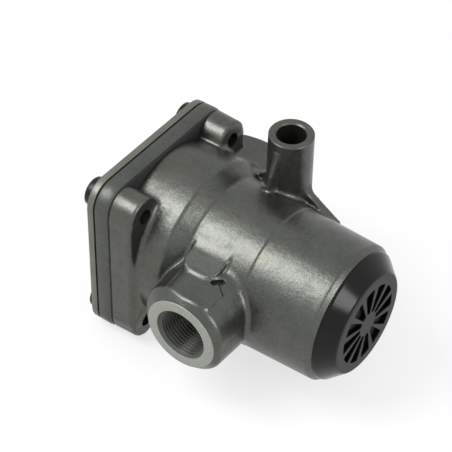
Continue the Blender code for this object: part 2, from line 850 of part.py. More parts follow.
def valve_body():
    """One casting: shoulder, barrel, posts, side walls, two port bosses, tube boss and ribs."""
    body = body_shell()
    combine(body, "UNION", *side_walls(), *corner_posts())
    outlet = port_boss(
        "outlet_boss",
        OUTLET_X,
        -1,
        BOSS_HALF_WIDTH,
        BOSS_HALF_HEIGHT,
        BOSS_CORNER,
        PORT_RING,
        BOSS_SHIFT,
        BOSS_DRAFT,
    )
    inlet = port_boss(
        "inlet_boss", INLET_X, 1, INLET_HALF_WIDTH, INLET_HALF_HEIGHT, INLET_CORNER, INLET_RING
    )
    combine(body, "UNION", blank_pad(), outlet, boss_flat(), inlet, *tube_ribs(), tube_boss())
    combine(body, "DIFFERENCE", body_cavity())
    combine(body, "DIFFERENCE", port_bore("outlet_bore", OUTLET_X, -1))
    combine(body, "DIFFERENCE", port_bore("inlet_bore", INLET_X, 1))
    outlet_passage = rod(
        "outlet_passage",
        OUTLET_PASSAGE,
        (OUTLET_X, -PORT_REACH + PORT_THREAD_DEPTH, 0),
        (OUTLET_X, -OUTLET_BORE + OVERLAP, 0),
    )
    passage_x = INLET_X - INLET_PASSAGE_SHIFT
    inlet_passage = rod(
        "inlet_passage",
        INLET_PASSAGE,
        (passage_x, PORT_REACH - PORT_THREAD_DEPTH, 0),
        (passage_x, INLET_BORE - OVERLAP, 0),
    )
    holes = screw_holes("post_holes", BODY_X - OVERLAP, BODY_X + POST_LENGTH + OVERLAP)
    combine(body, "DIFFERENCE", outlet_passage, inlet_passage, tube_hole(), holes)


def valve_guide():
    """A brass bush with a flange, in the hub of the cover."""
    bore = VALVE_TAIL_RADIUS + CLEAR
    groove = GUIDE_RADIUS - RING_CORD
    ring_x = (GUIDE_X + GUIDE_FLANGE_X) / 2
    turned(
        "valve_guide",
        [
            (bore, GUIDE_X),
            (GUIDE_RADIUS, GUIDE_X),
            (GUIDE_RADIUS, ring_x - RING_CORD * 0.7),
            (groove, ring_x - RING_CORD * 0.7),
            (groove, ring_x + RING_CORD * 0.7),
            (GUIDE_RADIUS, ring_x + RING_CORD * 0.7),
            (GUIDE_RADIUS, GUIDE_FLANGE_X),
            (GUIDE_FLANGE_RADIUS, GUIDE_FLANGE_X),
            (GUIDE_FLANGE_RADIUS, GUIDE_NOSE_X),
            (GUIDE_NOSE_RADIUS, GUIDE_NOSE_X),
            (GUIDE_NOSE_RADIUS, GUIDE_NOSE_X + GUIDE_NOSE_LENGTH),
            (bore, GUIDE_NOSE_X + GUIDE_NOSE_LENGTH),
        ],
        BRASS,
        steps=FINE_STEPS,
    )
    ring_radius = (groove + GUIDE_RADIUS + CLEAR) / 2
    cord_ring("guide_o_ring", RING_CORD - CLEAR, ring_radius, ring_x, RUBBER)


def inlet_valve():
    """The valve head holds a rubber disc, and its tail slides in the guide."""
    head = VALVE_HEAD_RADIUS
    floor = VALVE_X + VALVE_HEAD_DEPTH + SEAL_PROUD - SEAL_THICK - CLEAR
    cup = SEAL_RADIUS + CLEAR
    tail = VALVE_TAIL_RADIUS
    tail_x = VALVE_X - VALVE_TAIL_LENGTH
    ring_x = tail_x + TAIL_RING_CORD * 2
    groove = tail - TAIL_RING_CORD - CLEAR / 2
    turned(
        "inlet_valve",
        [
            (0, tail_x),
            (tail, tail_x),
            (tail, ring_x - TAIL_RING_CORD * 0.8),
            (groove, ring_x - TAIL_RING_CORD * 0.8),
            (groove, ring_x + TAIL_RING_CORD * 0.8),
            (tail, ring_x + TAIL_RING_CORD * 0.8),
            (tail, VALVE_X),
            (head - CLEAR, VALVE_X),
            (head, VALVE_X + CLEAR),
            (head, VALVE_X + VALVE_HEAD_DEPTH),
            (cup, VALVE_X + VALVE_HEAD_DEPTH),
            (cup, floor),
            (0, floor),
        ],
        BRASS,
        steps=FINE_STEPS,
    )
    ring_radius = (groove + tail + CLEAR) / 2
    cord_ring("tail_o_ring", TAIL_RING_CORD - CLEAR, ring_radius, ring_x, RUBBER, 8, 24)
    turned(
        "valve_seal",
        [(0, SEAL_X), (SEAL_RADIUS, SEAL_X), (SEAL_RADIUS, SEAL_FACE_X), (0, SEAL_FACE_X)],
        RUBBER,
        steps=FINE_STEPS,
    )
    coil(
        "valve_spring",
        VALVE_WIRE,
        VALVE_COIL_RADIUS,
        GUIDE_NOSE_X + CLEAR,
        VALVE_X - GUIDE_NOSE_X - 2 * CLEAR,
        VALVE_COIL_TURNS,
        SPRING_STEEL,
    )


def piston():
    """The piston's hollow stem reaches through the seat to the inlet valve; its cup holds the spring."""
    outer = PISTON_BORE - CLEAR
    groove_x = PISTON_X + PISTON_RING_BACK
    band_x = PISTON_X + BAND_BACK
    groove = outer - GROOVE_DEPTH
    band = outer - BAND_DEPTH
    turned(
        "piston",
        [
            (STEM_BORE, STEM_TIP_X),
            (STEM_BORE + STEM_TIP_WIDTH, STEM_TIP_X),
            (STEM_RADIUS, STEM_TIP_X + STEM_TIP_TAPER),
            (STEM_RADIUS, PISTON_X - STEM_TIP_TAPER),
            (STEM_RADIUS + STEM_TIP_TAPER, PISTON_X),
            (outer - HEAD_CHAMFER, PISTON_X),
            (outer, PISTON_X + HEAD_CHAMFER),
            (outer, groove_x),
            (groove, groove_x),
            (groove, groove_x + GROOVE_WIDTH),
            (outer, groove_x + GROOVE_WIDTH),
            (outer, band_x),
            (band, band_x),
            (band, band_x + BAND_WIDTH + 2 * CLEAR),
            (outer, band_x + BAND_WIDTH + 2 * CLEAR),
            (outer, PISTON_X + SKIRT_LENGTH),
            (CUP_RADIUS, PISTON_X + SKIRT_LENGTH),
            (CUP_RADIUS, CUP_X),
            (STEM_BORE, CUP_X),
        ],
        TURNED_ALUMINIUM,
        steps=48,
    )
    cord_ring(
        "piston_seal",
        PISTON_RING_CORD,
        (groove + PISTON_BORE) / 2,
        groove_x + GROOVE_WIDTH / 2,
        RUBBER,
        steps=48,
    )
    low = band + CLEAR
    start = band_x + CLEAR
    end = start + BAND_WIDTH
    turned(
        "piston_guide_band",
        [(low, start), (outer, start), (outer, end), (low, end)],
        LOW_FRICTION,
        steps=48,
    )


def setpoint_spring():
    coil(
        "main_spring",
        SPRING_WIRE,
        SPRING_RADIUS,
        CUP_X + CLEAR,
        SPRING_SPACE - CLEAR,
        SPRING_TURNS,
        SPRING_STEEL,
        per_turn=20,
    )
    pilot = SPRING_RADIUS - SPRING_WIRE / 2 - 2 * CLEAR
    recess = ADJUST_RADIUS + CLEAR
    floor = SEAT_PLATE_END - TIP_RECESS
    turned(
        "spring_seat",
        [
            (0, SEAT_PLATE_X - PILOT_HEIGHT),
            (pilot, SEAT_PLATE_X - PILOT_HEIGHT),
            (pilot, SEAT_PLATE_X),
            (SEAT_PLATE_RADIUS, SEAT_PLATE_X),
            (SEAT_PLATE_RADIUS, SEAT_PLATE_END),
            (recess, SEAT_PLATE_END),
            (recess, floor),
            (0, floor),
        ],
        SPRING_STEEL,
        steps=48,
    )


def adjusting_screw():
    """The screw has a hexagon socket in its outer end and bears on the spring seat."""
    end = ADJUST_X + ADJUST_LENGTH
    screw = turned(
        "adjusting_screw",
        [
            (0, ADJUST_X),
            (ADJUST_RADIUS - HEAD_CHAMFER, ADJUST_X),
            (ADJUST_RADIUS, ADJUST_X + HEAD_CHAMFER),
            (ADJUST_RADIUS, end - HEAD_CHAMFER),
            (ADJUST_RADIUS - HEAD_CHAMFER, end),
            (0, end),
        ],
        SPRING_STEEL,
        steps=FINE_STEPS,
    )
    socket = rod(
        "adjusting_socket",
        SOCKET_FLATS / math.sqrt(3),
        (end - SOCKET_DEPTH, 0, 0),
        (end + OVERLAP, 0, 0),
        6,
    )
    combine(screw, "DIFFERENCE", socket)


def lock_nut():
    start = BRIDGE_END + CLEAR
    end = start + NUT_HEIGHT
    nut = rod("lock_nut", NUT_FLATS / math.sqrt(3), (start, 0, 0), (end, 0, 0), 6, ZINC)
    bore = rod(
        "nut_bore",
        ADJUST_RADIUS + CLEAR,
        (start - OVERLAP, 0, 0),
        (end + OVERLAP, 0, 0),
    )
    combine(nut, "DIFFERENCE", bore)


def end_bridge():
    """The threaded bridge closes the spring chamber and lets the exhaust air past."""
    outer = PISTON_BORE - CLEAR
    bore = ADJUST_RADIUS + CLEAR
    bridge = turned(
        "end_bridge",
        [
            (bore, HUB_X),
            (BRIDGE_HUB_RADIUS, HUB_X),
            (BRIDGE_HUB_RADIUS, BRIDGE_X),
            (outer, BRIDGE_X),
            (outer, BRIDGE_END),
            (bore, BRIDGE_END),
        ],
        ZINC,
        steps=48,
    )
    ring = (BRIDGE_HUB_RADIUS + outer) / 2
    for i in range(BRIDGE_VENTS):
        angle = 2 * math.pi * i / BRIDGE_VENTS
        y, z = ring * math.cos(angle), ring * math.sin(angle)
        vent = rod(
            f"bridge_vent_{i}",
            BRIDGE_VENT_RADIUS,
            (BRIDGE_X - OVERLAP, y, z),
            (BRIDGE_END + OVERLAP, y, z),
            20,
        )
        combine(bridge, "DIFFERENCE", vent)


def circlip():
    """An open spring ring in the groove of the piston bore."""
    outer = PISTON_BORE + CIRCLIP_GROOVE - CLEAR
    inner = outer - CIRCLIP_WIDTH
    ring = turned(
        "circlip",
        [(inner, CIRCLIP_X), (outer, CIRCLIP_X), (outer, CIRCLIP_END), (inner, CIRCLIP_END)],
        BLACK_STEEL,
        steps=48,
    )
    opening = block(
        "circlip_opening",
        (CIRCLIP_X - OVERLAP, -CIRCLIP_OPENING / 2, -2 * outer),
        (CIRCLIP_END + OVERLAP, CIRCLIP_OPENING / 2, 0),
    )
    combine(ring, "DIFFERENCE", opening)


def window_cutter():
    """A ring of evenly spaced wedge windows through the cap's face, as one cutter."""
    shape = bmesh.new()
    start = CAP_END - CAP_WALL - OVERLAP / 4
    arc_steps = 4
    for window in range(WINDOWS):
        centre = 2 * math.pi * window / WINDOWS
        points = []
        for radius, order in ((WINDOW_INNER, 1), (WINDOW_OUTER, -1)):
            for i in range(arc_steps + 1):
                angle = centre + order * WINDOW_ANGLE * (i / arc_steps - 0.5)
                points.append((start, radius * math.cos(angle), radius * math.sin(angle)))
        face = shape.faces.new([shape.verts.new(point) for point in points])
        pushed = bmesh.ops.extrude_face_region(shape, geom=[face])
        moved = [item for item in pushed["geom"] if isinstance(item, bmesh.types.BMVert)]
        bmesh.ops.translate(shape, verts=moved, vec=(CAP_WALL + OVERLAP, 0, 0))
    return place("cap_windows", mesh_from("cap_windows", shape), None)


def vent_cap():
    """A press-in plastic cap: skirt, cone, and a face with windows and a pin for the flap."""
    inside = CAP_END - CAP_WALL
    skirt = PISTON_BORE - CLEAR
    throat = skirt - CAP_SKIRT_WALL
    roof = throat - CAP_SLOPE / 2
    head = FLAP_X - CLEAR
    cap = turned(
        "vent_cap",
        [
            (0, head - PIN_HEAD_THICK),
            (PIN_HEAD_RADIUS, head - PIN_HEAD_THICK),
            (PIN_HEAD_RADIUS, head),
            (PIN_RADIUS, head),
            (PIN_RADIUS, inside),
            (roof, inside),
            (throat, CAP_X + CAP_WALL),
            (throat, CAP_X - CAP_SKIRT_LENGTH),
            (skirt, CAP_X - CAP_SKIRT_LENGTH),
            (skirt, CAP_X),
            (CAP_RADIUS, CAP_X),
            (CAP_RADIUS, CAP_X + CAP_BAND),
            (CAP_FACE_RADIUS + CAP_EDGE, CAP_END - CAP_EDGE),
            (CAP_FACE_RADIUS, CAP_END),
            (0, CAP_END),
        ],
        BLACK_PLASTIC,
    )
    combine(cap, "DIFFERENCE", window_cutter())
    bore = PIN_RADIUS + CLEAR
    end = FLAP_X + FLAP_THICK
    turned(
        "vent_flap",
        [(bore, FLAP_X), (FLAP_RADIUS, FLAP_X), (FLAP_RADIUS, end), (bore, end)],
        RUBBER,
        steps=FINE_STEPS,
    )


def set_on_base():
    """Moves every shape so that the origin is the middle of the footprint, on its base."""
    middle = (CAP_END - CLEAR - HEAD_HEIGHT) / 2
    for obj in [*PIECES.objects, *CUTTERS.objects]:
        obj.location += Vector((-middle, 0, FLANGE_SIDE / 2))


cover_plate()
cover_gasket()
end_cover()
body_gasket()
for screw_number, (screw_y, screw_z) in enumerate(SCREW_PLACES, 1):
    cover_screw(screw_number, screw_y, screw_z)
valve_body()
valve_guide()
inlet_valve()
piston()
setpoint_spring()
adjusting_screw()
lock_nut()
end_bridge()
circlip()
vent_cap()
set_on_base()
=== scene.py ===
"""Pressure limiting valve: the visible pieces, their materials and a plain studio.

Shapes are worked out in millimetres from the centre of the cover plate's outer face: X along
the valve's own axis to the vent cap, -Y out of the outlet port, +Z along the tubular boss.
"""

import math

import bpy
import numpy as np
from bpy.props import FloatProperty, FloatVectorProperty, IntProperty, PointerProperty
from mathutils import Matrix, Vector


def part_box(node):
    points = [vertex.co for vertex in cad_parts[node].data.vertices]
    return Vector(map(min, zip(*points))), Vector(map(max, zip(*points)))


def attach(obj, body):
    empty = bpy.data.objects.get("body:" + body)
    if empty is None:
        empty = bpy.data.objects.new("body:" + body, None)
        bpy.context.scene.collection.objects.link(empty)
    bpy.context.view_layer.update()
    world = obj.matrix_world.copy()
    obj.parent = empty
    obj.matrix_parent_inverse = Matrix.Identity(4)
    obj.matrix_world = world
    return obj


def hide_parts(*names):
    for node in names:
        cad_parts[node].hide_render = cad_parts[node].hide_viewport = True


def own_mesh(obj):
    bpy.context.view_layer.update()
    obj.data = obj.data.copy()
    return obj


bl_info = {
    "name": "Pressure limiting valve",
    "version": (1, 0, 0),
    "blender": (4, 5, 0),
    "location": "View3D > Sidebar > Valve",
    "description": "Builds the visible pieces of a pressure limiting valve and their studio",
    "category": "Object",
}

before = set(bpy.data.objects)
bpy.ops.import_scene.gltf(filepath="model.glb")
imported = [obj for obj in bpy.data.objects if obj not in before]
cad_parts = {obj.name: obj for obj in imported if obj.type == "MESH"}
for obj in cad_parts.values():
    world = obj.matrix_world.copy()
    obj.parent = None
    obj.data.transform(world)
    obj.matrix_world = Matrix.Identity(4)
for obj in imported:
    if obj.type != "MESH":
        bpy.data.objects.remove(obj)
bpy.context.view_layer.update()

MM = 0.001
PLATE_LOW, PLATE_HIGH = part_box("cover_plate")
START = np.array(
    [PLATE_LOW.x, (PLATE_LOW.y + PLATE_HIGH.y) / 2, (PLATE_LOW.z + PLATE_HIGH.z) / 2]
)
BODY_LOW, BODY_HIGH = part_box("valve_body")
BODY_X = (BODY_LOW.x - START[0]) / MM
BODY_END = (BODY_HIGH.x - START[0]) / MM
TUBE_TOP = (BODY_HIGH.z - START[2]) / MM
PORT_REACH = BODY_HIGH.y / MM

# Casting, outside
SCREW_REACH = 29.5
POST_RADIUS = 8.7
POST_TAPER = 0.4
POST_LENGTH = 10.85
POST_END = BODY_X + POST_LENGTH
WALL_REACH = 38.6
WALL_EDGE = 2.2
SHOULDER_RADIUS = 36.9
SHOULDER_END = BODY_X + 22.25
STEP_END = SHOULDER_END + 6.6
BARREL_RADIUS = 31.9
BARREL_DRAFT = 0.0262
WITNESS_X = STEP_END + 28.5
WITNESS_STEP = 0.25
RIM_LENGTH = 2.2
RIM_CHAMFER = 1.7

# Casting, inside
INLET_BORE = 30.0
INLET_END = BODY_X + 18.85
LIP_HEIGHT = 1.2
LIP_RADIUS = 10.1
SEAT_RADIUS = 8.5
PARTITION_END = INLET_END + 6.0
OUTLET_BORE = 24.5
LEDGE_X = PARTITION_END + 28.0
PISTON_BORE = 26.0
GROOVE_LOW = 98.7
GROOVE_HIGH = 100.1
GROOVE_RADIUS = 27.2
POST_HOLE = 3.3

# Ports and their bosses
OUTLET_X = 55.3
INLET_X = 27.5
OUTLET_RING = 16.2
INLET_RING = 15.4
PORT_RAISED = 0.3
PORT_DEPTH = 16.0
LINER_RADIUS = 11.5
MOUTH_RADIUS = 11.7
BOSS_SLOPE = 2.6
BOSS_ROOT = 12.0
OUTLET_PASSAGE = 6.8
INLET_PASSAGE = 6.2
INLET_PASSAGE_X = 23.3
OUTLET_BOSS_SHIFT = 1.0
OUTLET_BOSS_HALF = (19.0, 18.4)
OUTLET_BOSS_CORNER = 15.8
OUTLET_BOSS_DRAFT = 0.035
OUTLET_BOSS_TIP = 47.0
OUTLET_BOSS_LENGTH = 22.5
INLET_BOSS_HALF = (16.0, 19.0)
INLET_BOSS_CORNER = 6.0

# Raised flat on the outlet boss: X from the port's middle, and Y from the ring's face
BOSS_FLAT = [
    (-12.0, 17.5),
    (3.0, 16.9),
    (6.5, 16.3),
    (9.8, 14.0),
    (9.75, 4.8),
    (8.5, 3.5),
    (3.1, 1.4),
    (-5.9, 2.4),
    (-10.5, 4.5),
]
FLAT_LOW = 10.0
FLAT_STEP = 0.16
FLAT_BEAD = 0.3

# Pad between the barrel and the outlet boss, and the notch at its end
PAD_LOW = 42.4
PAD_HIGH = 58.8
PAD_FRONT = -34.3
PAD_SLOPE = (-0.254, 0.967)
PAD_TOP = 27.35
PAD_HALF = 12.0
PAD_CORNER = 5.5
PAD_ROOT = 12.0
NOTCH = ((59.4, -33.3, 0.0), (61.2, -30.8, 0.0))
NOTCH_RADIUS = 1.35
NOTCH_FLOOR = 16.2

# Tubular boss
TUBE_X = 53.2
TUBE_Y = 26.3
TUBE_RADIUS = 9.4
TUBE_FOOT = 9.8
TUBE_HOLE = 6.1
TUBE_FLOOR = TUBE_TOP - 29.5
FRONT_WEB = [(53.2, 30.5), (62.6, 25.8), (78.2, 16.0)]
REAR_WEB = [(31.2, 20.0), (43.8, 26.0), (53.2, 26.0)]
WEB_HALF = 1.7
SPUR = [(0.0, 49.5), (9.4, 46.5), (13.2, 36.5), (14.6, 24.0)]
SPUR_HALF = 1.1
SPUR_TURN = (0.087, 0.996)

# Fillets where the casting's shapes meet, each about as wide as given
POST_FILLET = 1.2
SHOULDER_FILLET = 2.6
OUTLET_FILLET = 2.2
INLET_FILLET = 2.4
PAD_FILLET = 1.6
WEB_FILLET = 2.4
TUBE_FILLET = 3.2
SPUR_FILLET = 1.8

# Vent cap
CAP_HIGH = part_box("vent_cap")[1]
CAP_END = (CAP_HIGH.x - START[0]) / MM
CAP_X = CAP_END - 7.5
CAP_RADIUS = CAP_HIGH.y / MM
CAP_FACE = CAP_RADIUS - 6.1
CAP_SKIRT = 25.7
CAP_SKIRT_LENGTH = 3.2
CAP_INSIDE = 23.9
CAP_WALL = 2.1
ROOF_RADIUS = 21.084
ROOF_SLOPE = 0.61
WINDOW_MIDDLE = 11.55
WINDOW_HALF = 6.05
WINDOW_SPREAD = math.radians(10.5)
WINDOW_DEPTH = 3.0
PIN_RADIUS = 2.0
PIN_LENGTH = 4.3
PIN_HEAD = 3.6

# Cover screws
HEAD_RADIUS = 6.3
HEAD_HEIGHT = 4.0
HEAD_GAP = 0.3
SHANK_RADIUS = 3.0
SHANK_LENGTH = 20.0
SCREW_PITCH = 1.0
HEX_RADIUS = 2.89
SCREW_PLACES = {
    "cover_screw_1": (-SCREW_REACH, SCREW_REACH),
    "cover_screw_2": (SCREW_REACH, SCREW_REACH),
    "cover_screw_3": (-SCREW_REACH, -SCREW_REACH),
    "cover_screw_4": (SCREW_REACH, -SCREW_REACH),
}

# Camera, with its place in the valve's own axes
CAMERA_PLACE = (337.42, -417.28, 502.74)
CAMERA_RIGHT = (0.80521, 0.59272, 0.01727)
CAMERA_UP = (-0.41985, 0.54932, 0.72247)
CAMERA_BACK = (0.41874, -0.58900, 0.69118)

# Stage, with its lengths in metres
VALVE_MIDDLE = (0, 0, 0.039)
KEY_DIRECTION = (-0.41, -0.43, 0.81)
SIDE_DIRECTION = (0.85, -0.11, 0.52)
LAMP_DISTANCE = 0.9
FLOOR_REACH = 6.0
FLOOR_DROP = 0.0002
FLOOR_GLOW = 0.7


def to_world(points):
    """Points in millimetres in the valve's own axes, as metres in the frame."""
    return START + np.asarray(points, float) * MM


# Fields: each is below zero inside its shape and grows with the distance from it


def smooth_min(a, b, k):
    """The lower of two fields, with a round fillet about k wide where they meet."""
    h = np.maximum(k - np.abs(a - b), 0.0) / k
    return np.minimum(a, b) - h * h * k * 0.25


def smooth_max(a, b, k):
    """The higher of two fields, with an edge rounded over about k."""
    h = np.maximum(k - np.abs(a - b), 0.0) / k
    return np.maximum(a, b) + h * h * k * 0.25


def rounded_corner(a, b, rounding):
    """Both fields below zero, with the edge between them rounded to a true radius."""
    a, b = a + rounding, b + rounding
    outside = np.hypot(np.maximum(a, 0), np.maximum(b, 0))
    return np.minimum(np.maximum(a, b), 0) + outside - rounding


def polygon_field(u, v, corners):
    """Distance to a closed outline: the nearest edge, below zero where a ray crosses oddly."""
    nearest = np.full(u.shape, 1e9)
    sign = np.ones(u.shape)
    for (au, av), (bu, bv) in zip(corners, corners[1:] + corners[:1]):
        eu, ev = bu - au, bv - av
        du, dv = u - au, v - av
        share = np.clip((du * eu + dv * ev) / (eu * eu + ev * ev), 0, 1)
        nearest = np.minimum(nearest, np.hypot(du - eu * share, dv - ev * share))
        above_a, above_b = v >= av, v < bv
        left = eu * dv > ev * du
        flips = (above_a & above_b & left) | (~above_a & ~above_b & ~left)
        sign = np.where(flips, -sign, sign)
    return nearest * sign


def barrel_profile():
    """Outer radius against X: shoulder, cone, drafted barrel and rim, softened along X."""
    barrel_end = BARREL_RADIUS - BARREL_DRAFT * (WITNESS_X - STEP_END)
    nose_end = BARREL_RADIUS - BARREL_DRAFT * (BODY_END - STEP_END) - WITNESS_STEP
    rim = BODY_END - RIM_LENGTH
    knots = [
        (0.0, SHOULDER_RADIUS),
        (SHOULDER_END, SHOULDER_RADIUS),
        (STEP_END, BARREL_RADIUS),
        (WITNESS_X, barrel_end),
        (WITNESS_X + 0.3, barrel_end - WITNESS_STEP),
        (rim, nose_end),
        (BODY_END, nose_end - RIM_CHAMFER),
        (BODY_END + 8, nose_end - RIM_CHAMFER * (1 + 8 / RIM_LENGTH)),
    ]
    step = 0.1
    places = np.arange(0, BODY_END + 8, step)
    radii = np.interp(places, *zip(*knots))
    wide = np.exp(-0.5 * (np.arange(-40, 41) * step / 0.5) ** 2)
    slim = np.exp(-0.5 * (np.arange(-40, 41) * step / 0.28) ** 2)
    softened = np.convolve(np.pad(radii, 40, "edge"), wide / wide.sum(), "valid")
    crisp = np.convolve(np.pad(radii, 40, "edge"), slim / slim.sum(), "valid")
    return places, np.where(places < WITNESS_X - 6, softened, crisp)


PROFILE_X, PROFILE_R = barrel_profile()


def rounded_square(u, v, half_width, half_height, corner):
    """Distance to a rectangle about the origin with round corners."""
    return rounded_corner(np.abs(u) - half_width, np.abs(v) - half_height, corner)


def rod_between(x, y, z, ends, radius):
    """Distance to a round-ended rod: the nearest point of its line, less its radius."""
    start, end = np.array(ends[0]), np.array(ends[1])
    along = end - start
    offset = (x - start[0], y - start[1], z - start[2])
    share = sum(o * a for o, a in zip(offset, along)) / (along @ along)
    share = np.clip(share, 0, 1)
    gaps = [o - share * a for o, a in zip(offset, along)]
    return np.sqrt(sum(gap * gap for gap in gaps)) - radius


def boss_field(x, out, z, middle, port_x, half, corner, ring, raised=0.0):
    """A rounded square boss, cut by the cone that slopes in to the ring round its port."""
    half_width, half_height = half
    section = rounded_square(x - middle, z, half_width, half_height, corner) - raised
    depth = PORT_REACH - PORT_RAISED - out
    slope = (half_height + 0.6 - ring) / BOSS_SLOPE
    cone = (np.hypot(x - port_x, z) - ring - slope * depth) / math.hypot(1, slope)
    boss = smooth_max(section, cone, 0.9)
    return np.maximum(smooth_max(boss, -depth, 0.35), BOSS_ROOT - out)


def web_field(along, up, across, half, tops):
    """An upright web: below each of the slanted top lines, and half thick on either side."""
    web = -up
    for (au, av), (bu, bv) in zip(tops, tops[1:]):
        length = math.hypot(bu - au, bv - av)
        normal = ((av - bv) / length, (bu - au) / length)
        web = np.maximum(web, (along - au) * normal[0] + (up - av) * normal[1])
    web = np.maximum(web, np.maximum(tops[0][0] - along, along - tops[-1][0]))
    return rounded_corner(web, np.abs(across) - half, 0.7)


def casting_outside(x, y, z):
    """Barrel, posts, walls, bosses, pad, tube and webs, joined by fillets, less the notch."""
    barrel = np.hypot(y, z) - np.interp(x, PROFILE_X, PROFILE_R)
    beside, above = np.abs(y), np.abs(z)
    post_radius = POST_RADIUS - POST_TAPER * (x - BODY_X) / POST_LENGTH
    across = np.hypot(beside - SCREW_REACH, above - SCREW_REACH)
    posts = rounded_corner(across - post_radius, x - POST_END, 1.3)
    walls = rounded_corner(beside - WALL_REACH, x - POST_END, WALL_EDGE)
    walls = smooth_max(walls, above - SCREW_REACH - 0.6, 3.0)
    body = smooth_min(barrel, smooth_min(posts, walls, POST_FILLET), SHOULDER_FILLET)

    edge = polygon_field(x - OUTLET_X, y + PORT_REACH, BOSS_FLAT)
    raised = FLAT_STEP * (1 - np.tanh(edge / 0.3)) + FLAT_BEAD * np.exp(-((edge / 0.5) ** 2))
    raised = raised * np.clip(z - FLAT_LOW, 0, 1)
    width, height = OUTLET_BOSS_HALF
    from_tip = np.clip(OUTLET_BOSS_TIP + y, 0, OUTLET_BOSS_LENGTH)
    half = (width + OUTLET_BOSS_DRAFT * from_tip, height)
    middle = OUTLET_X - OUTLET_BOSS_SHIFT
    outlet = boss_field(
        x, -y, z, middle, OUTLET_X, half, OUTLET_BOSS_CORNER, OUTLET_RING, raised
    )
    inlet = boss_field(
        x, y, z, INLET_X, INLET_X, INLET_BOSS_HALF, INLET_BOSS_CORNER, INLET_RING
    )
    body = smooth_min(body, outlet, OUTLET_FILLET)
    body = smooth_min(body, inlet, INLET_FILLET)

    top = PAD_SLOPE[0] * y + PAD_SLOPE[1] * z - PAD_TOP
    middle = (PAD_LOW + PAD_HIGH) / 2
    half = (PAD_HIGH - PAD_LOW) / 2
    pad = rounded_square(x - middle, y - PAD_FRONT - PAD_HALF, half, PAD_HALF, PAD_CORNER)
    pad = np.maximum(rounded_corner(pad, top, 0.7), PAD_ROOT - z)
    body = smooth_min(body, pad, PAD_FILLET)
    notch = np.maximum(rod_between(x, y, 0 * z, NOTCH, NOTCH_RADIUS), NOTCH_FLOOR - z)
    body = smooth_max(body, -notch, 0.5)

    tube_radius = TUBE_FOOT + (TUBE_RADIUS - TUBE_FOOT) * z / TUBE_TOP
    across = np.hypot(x - TUBE_X, y - TUBE_Y)
    tube = rounded_corner(across - tube_radius, z - TUBE_TOP, 0.5)
    tube = np.maximum(tube, -z)
    front = web_field(x, z, y - TUBE_Y, WEB_HALF, FRONT_WEB)
    rear = web_field(x, z, y - TUBE_Y, WEB_HALF, REAR_WEB)
    out = -SPUR_TURN[0] * (x - TUBE_X) - SPUR_TURN[1] * (y - TUBE_Y)
    aside = SPUR_TURN[1] * (x - TUBE_X) - SPUR_TURN[0] * (y - TUBE_Y)
    spur = web_field(out, z, aside, SPUR_HALF, SPUR)
    body = smooth_min(body, smooth_min(front, rear, 0.5), WEB_FILLET)
    body = smooth_min(body, tube, TUBE_FILLET)
    return smooth_min(body, spur, SPUR_FILLET)


def rod_field(across, along, low, high, radius):
    """A flat-ended rod between two places along its axis."""
    return np.maximum(across - radius, np.maximum(low - along, along - high))


def casting_hollow(x, y, z):
    """Chambers, seat hole, piston bore, ports, passages, tube hole and the tapped holes."""
    r = np.hypot(y, z)
    lip = np.maximum(r - LIP_RADIUS, INLET_END - LIP_HEIGHT - x)
    hollow = np.maximum(rod_field(r, x, -9, INLET_END, INLET_BORE), -lip)
    hollow = np.minimum(hollow, rod_field(r, x, 20, PARTITION_END + 1, SEAT_RADIUS))
    hollow = np.minimum(hollow, rod_field(r, x, PARTITION_END, LEDGE_X + 1, OUTLET_BORE))
    hollow = np.minimum(hollow, rod_field(r, x, LEDGE_X, BODY_END + 9, PISTON_BORE))
    hollow = np.minimum(hollow, rod_field(r, x, GROOVE_LOW, GROOVE_HIGH, GROOVE_RADIUS))
    floor = PORT_REACH - PORT_DEPTH
    outlet = np.hypot(x - OUTLET_X, z)
    hollow = np.minimum(hollow, rod_field(outlet, -y, floor, 60, LINER_RADIUS))
    hollow = np.minimum(hollow, rod_field(outlet, -y, 20, floor + 1, OUTLET_PASSAGE))
    inlet = np.hypot(x - INLET_X, z)
    hollow = np.minimum(hollow, rod_field(inlet, y, floor, 60, LINER_RADIUS))
    inlet = np.hypot(x - INLET_PASSAGE_X, z)
    hollow = np.minimum(hollow, rod_field(inlet, y, 20, floor + 1, INLET_PASSAGE))
    across = np.hypot(x - TUBE_X, y - TUBE_Y)
    chamfer = TUBE_HOLE + np.maximum(z - TUBE_TOP + 0.5, 0)
    hollow = np.minimum(hollow, np.maximum(across - chamfer, TUBE_FLOOR - z))
    across = np.hypot(np.abs(y) - SCREW_REACH, np.abs(z) - SCREW_REACH)
    return np.minimum(hollow, rod_field(across, x, 0, POST_END + 9, POST_HOLE))


def casting_field(x, y, z):
    """The outside cut flat at both ends, less everything that is hollow."""
    outside = np.maximum(casting_outside(x, y, z), np.maximum(BODY_X - x, x - BODY_END))
    return np.maximum(outside, -casting_hollow(x, y, z))


def gradient(field, points, reach=0.01):
    """Unit direction in which a field grows, from four probes round each point."""
    total = np.zeros_like(points)
    for corner in ((1, -1, -1), (-1, -1, 1), (-1, 1, -1), (1, 1, 1)):
        probe = points + np.array(corner) * reach
        total += np.array(corner) * field(*probe.T)[:, None]
    length = np.linalg.norm(total, axis=1, keepdims=True)
    return total / np.maximum(length, 1e-12)


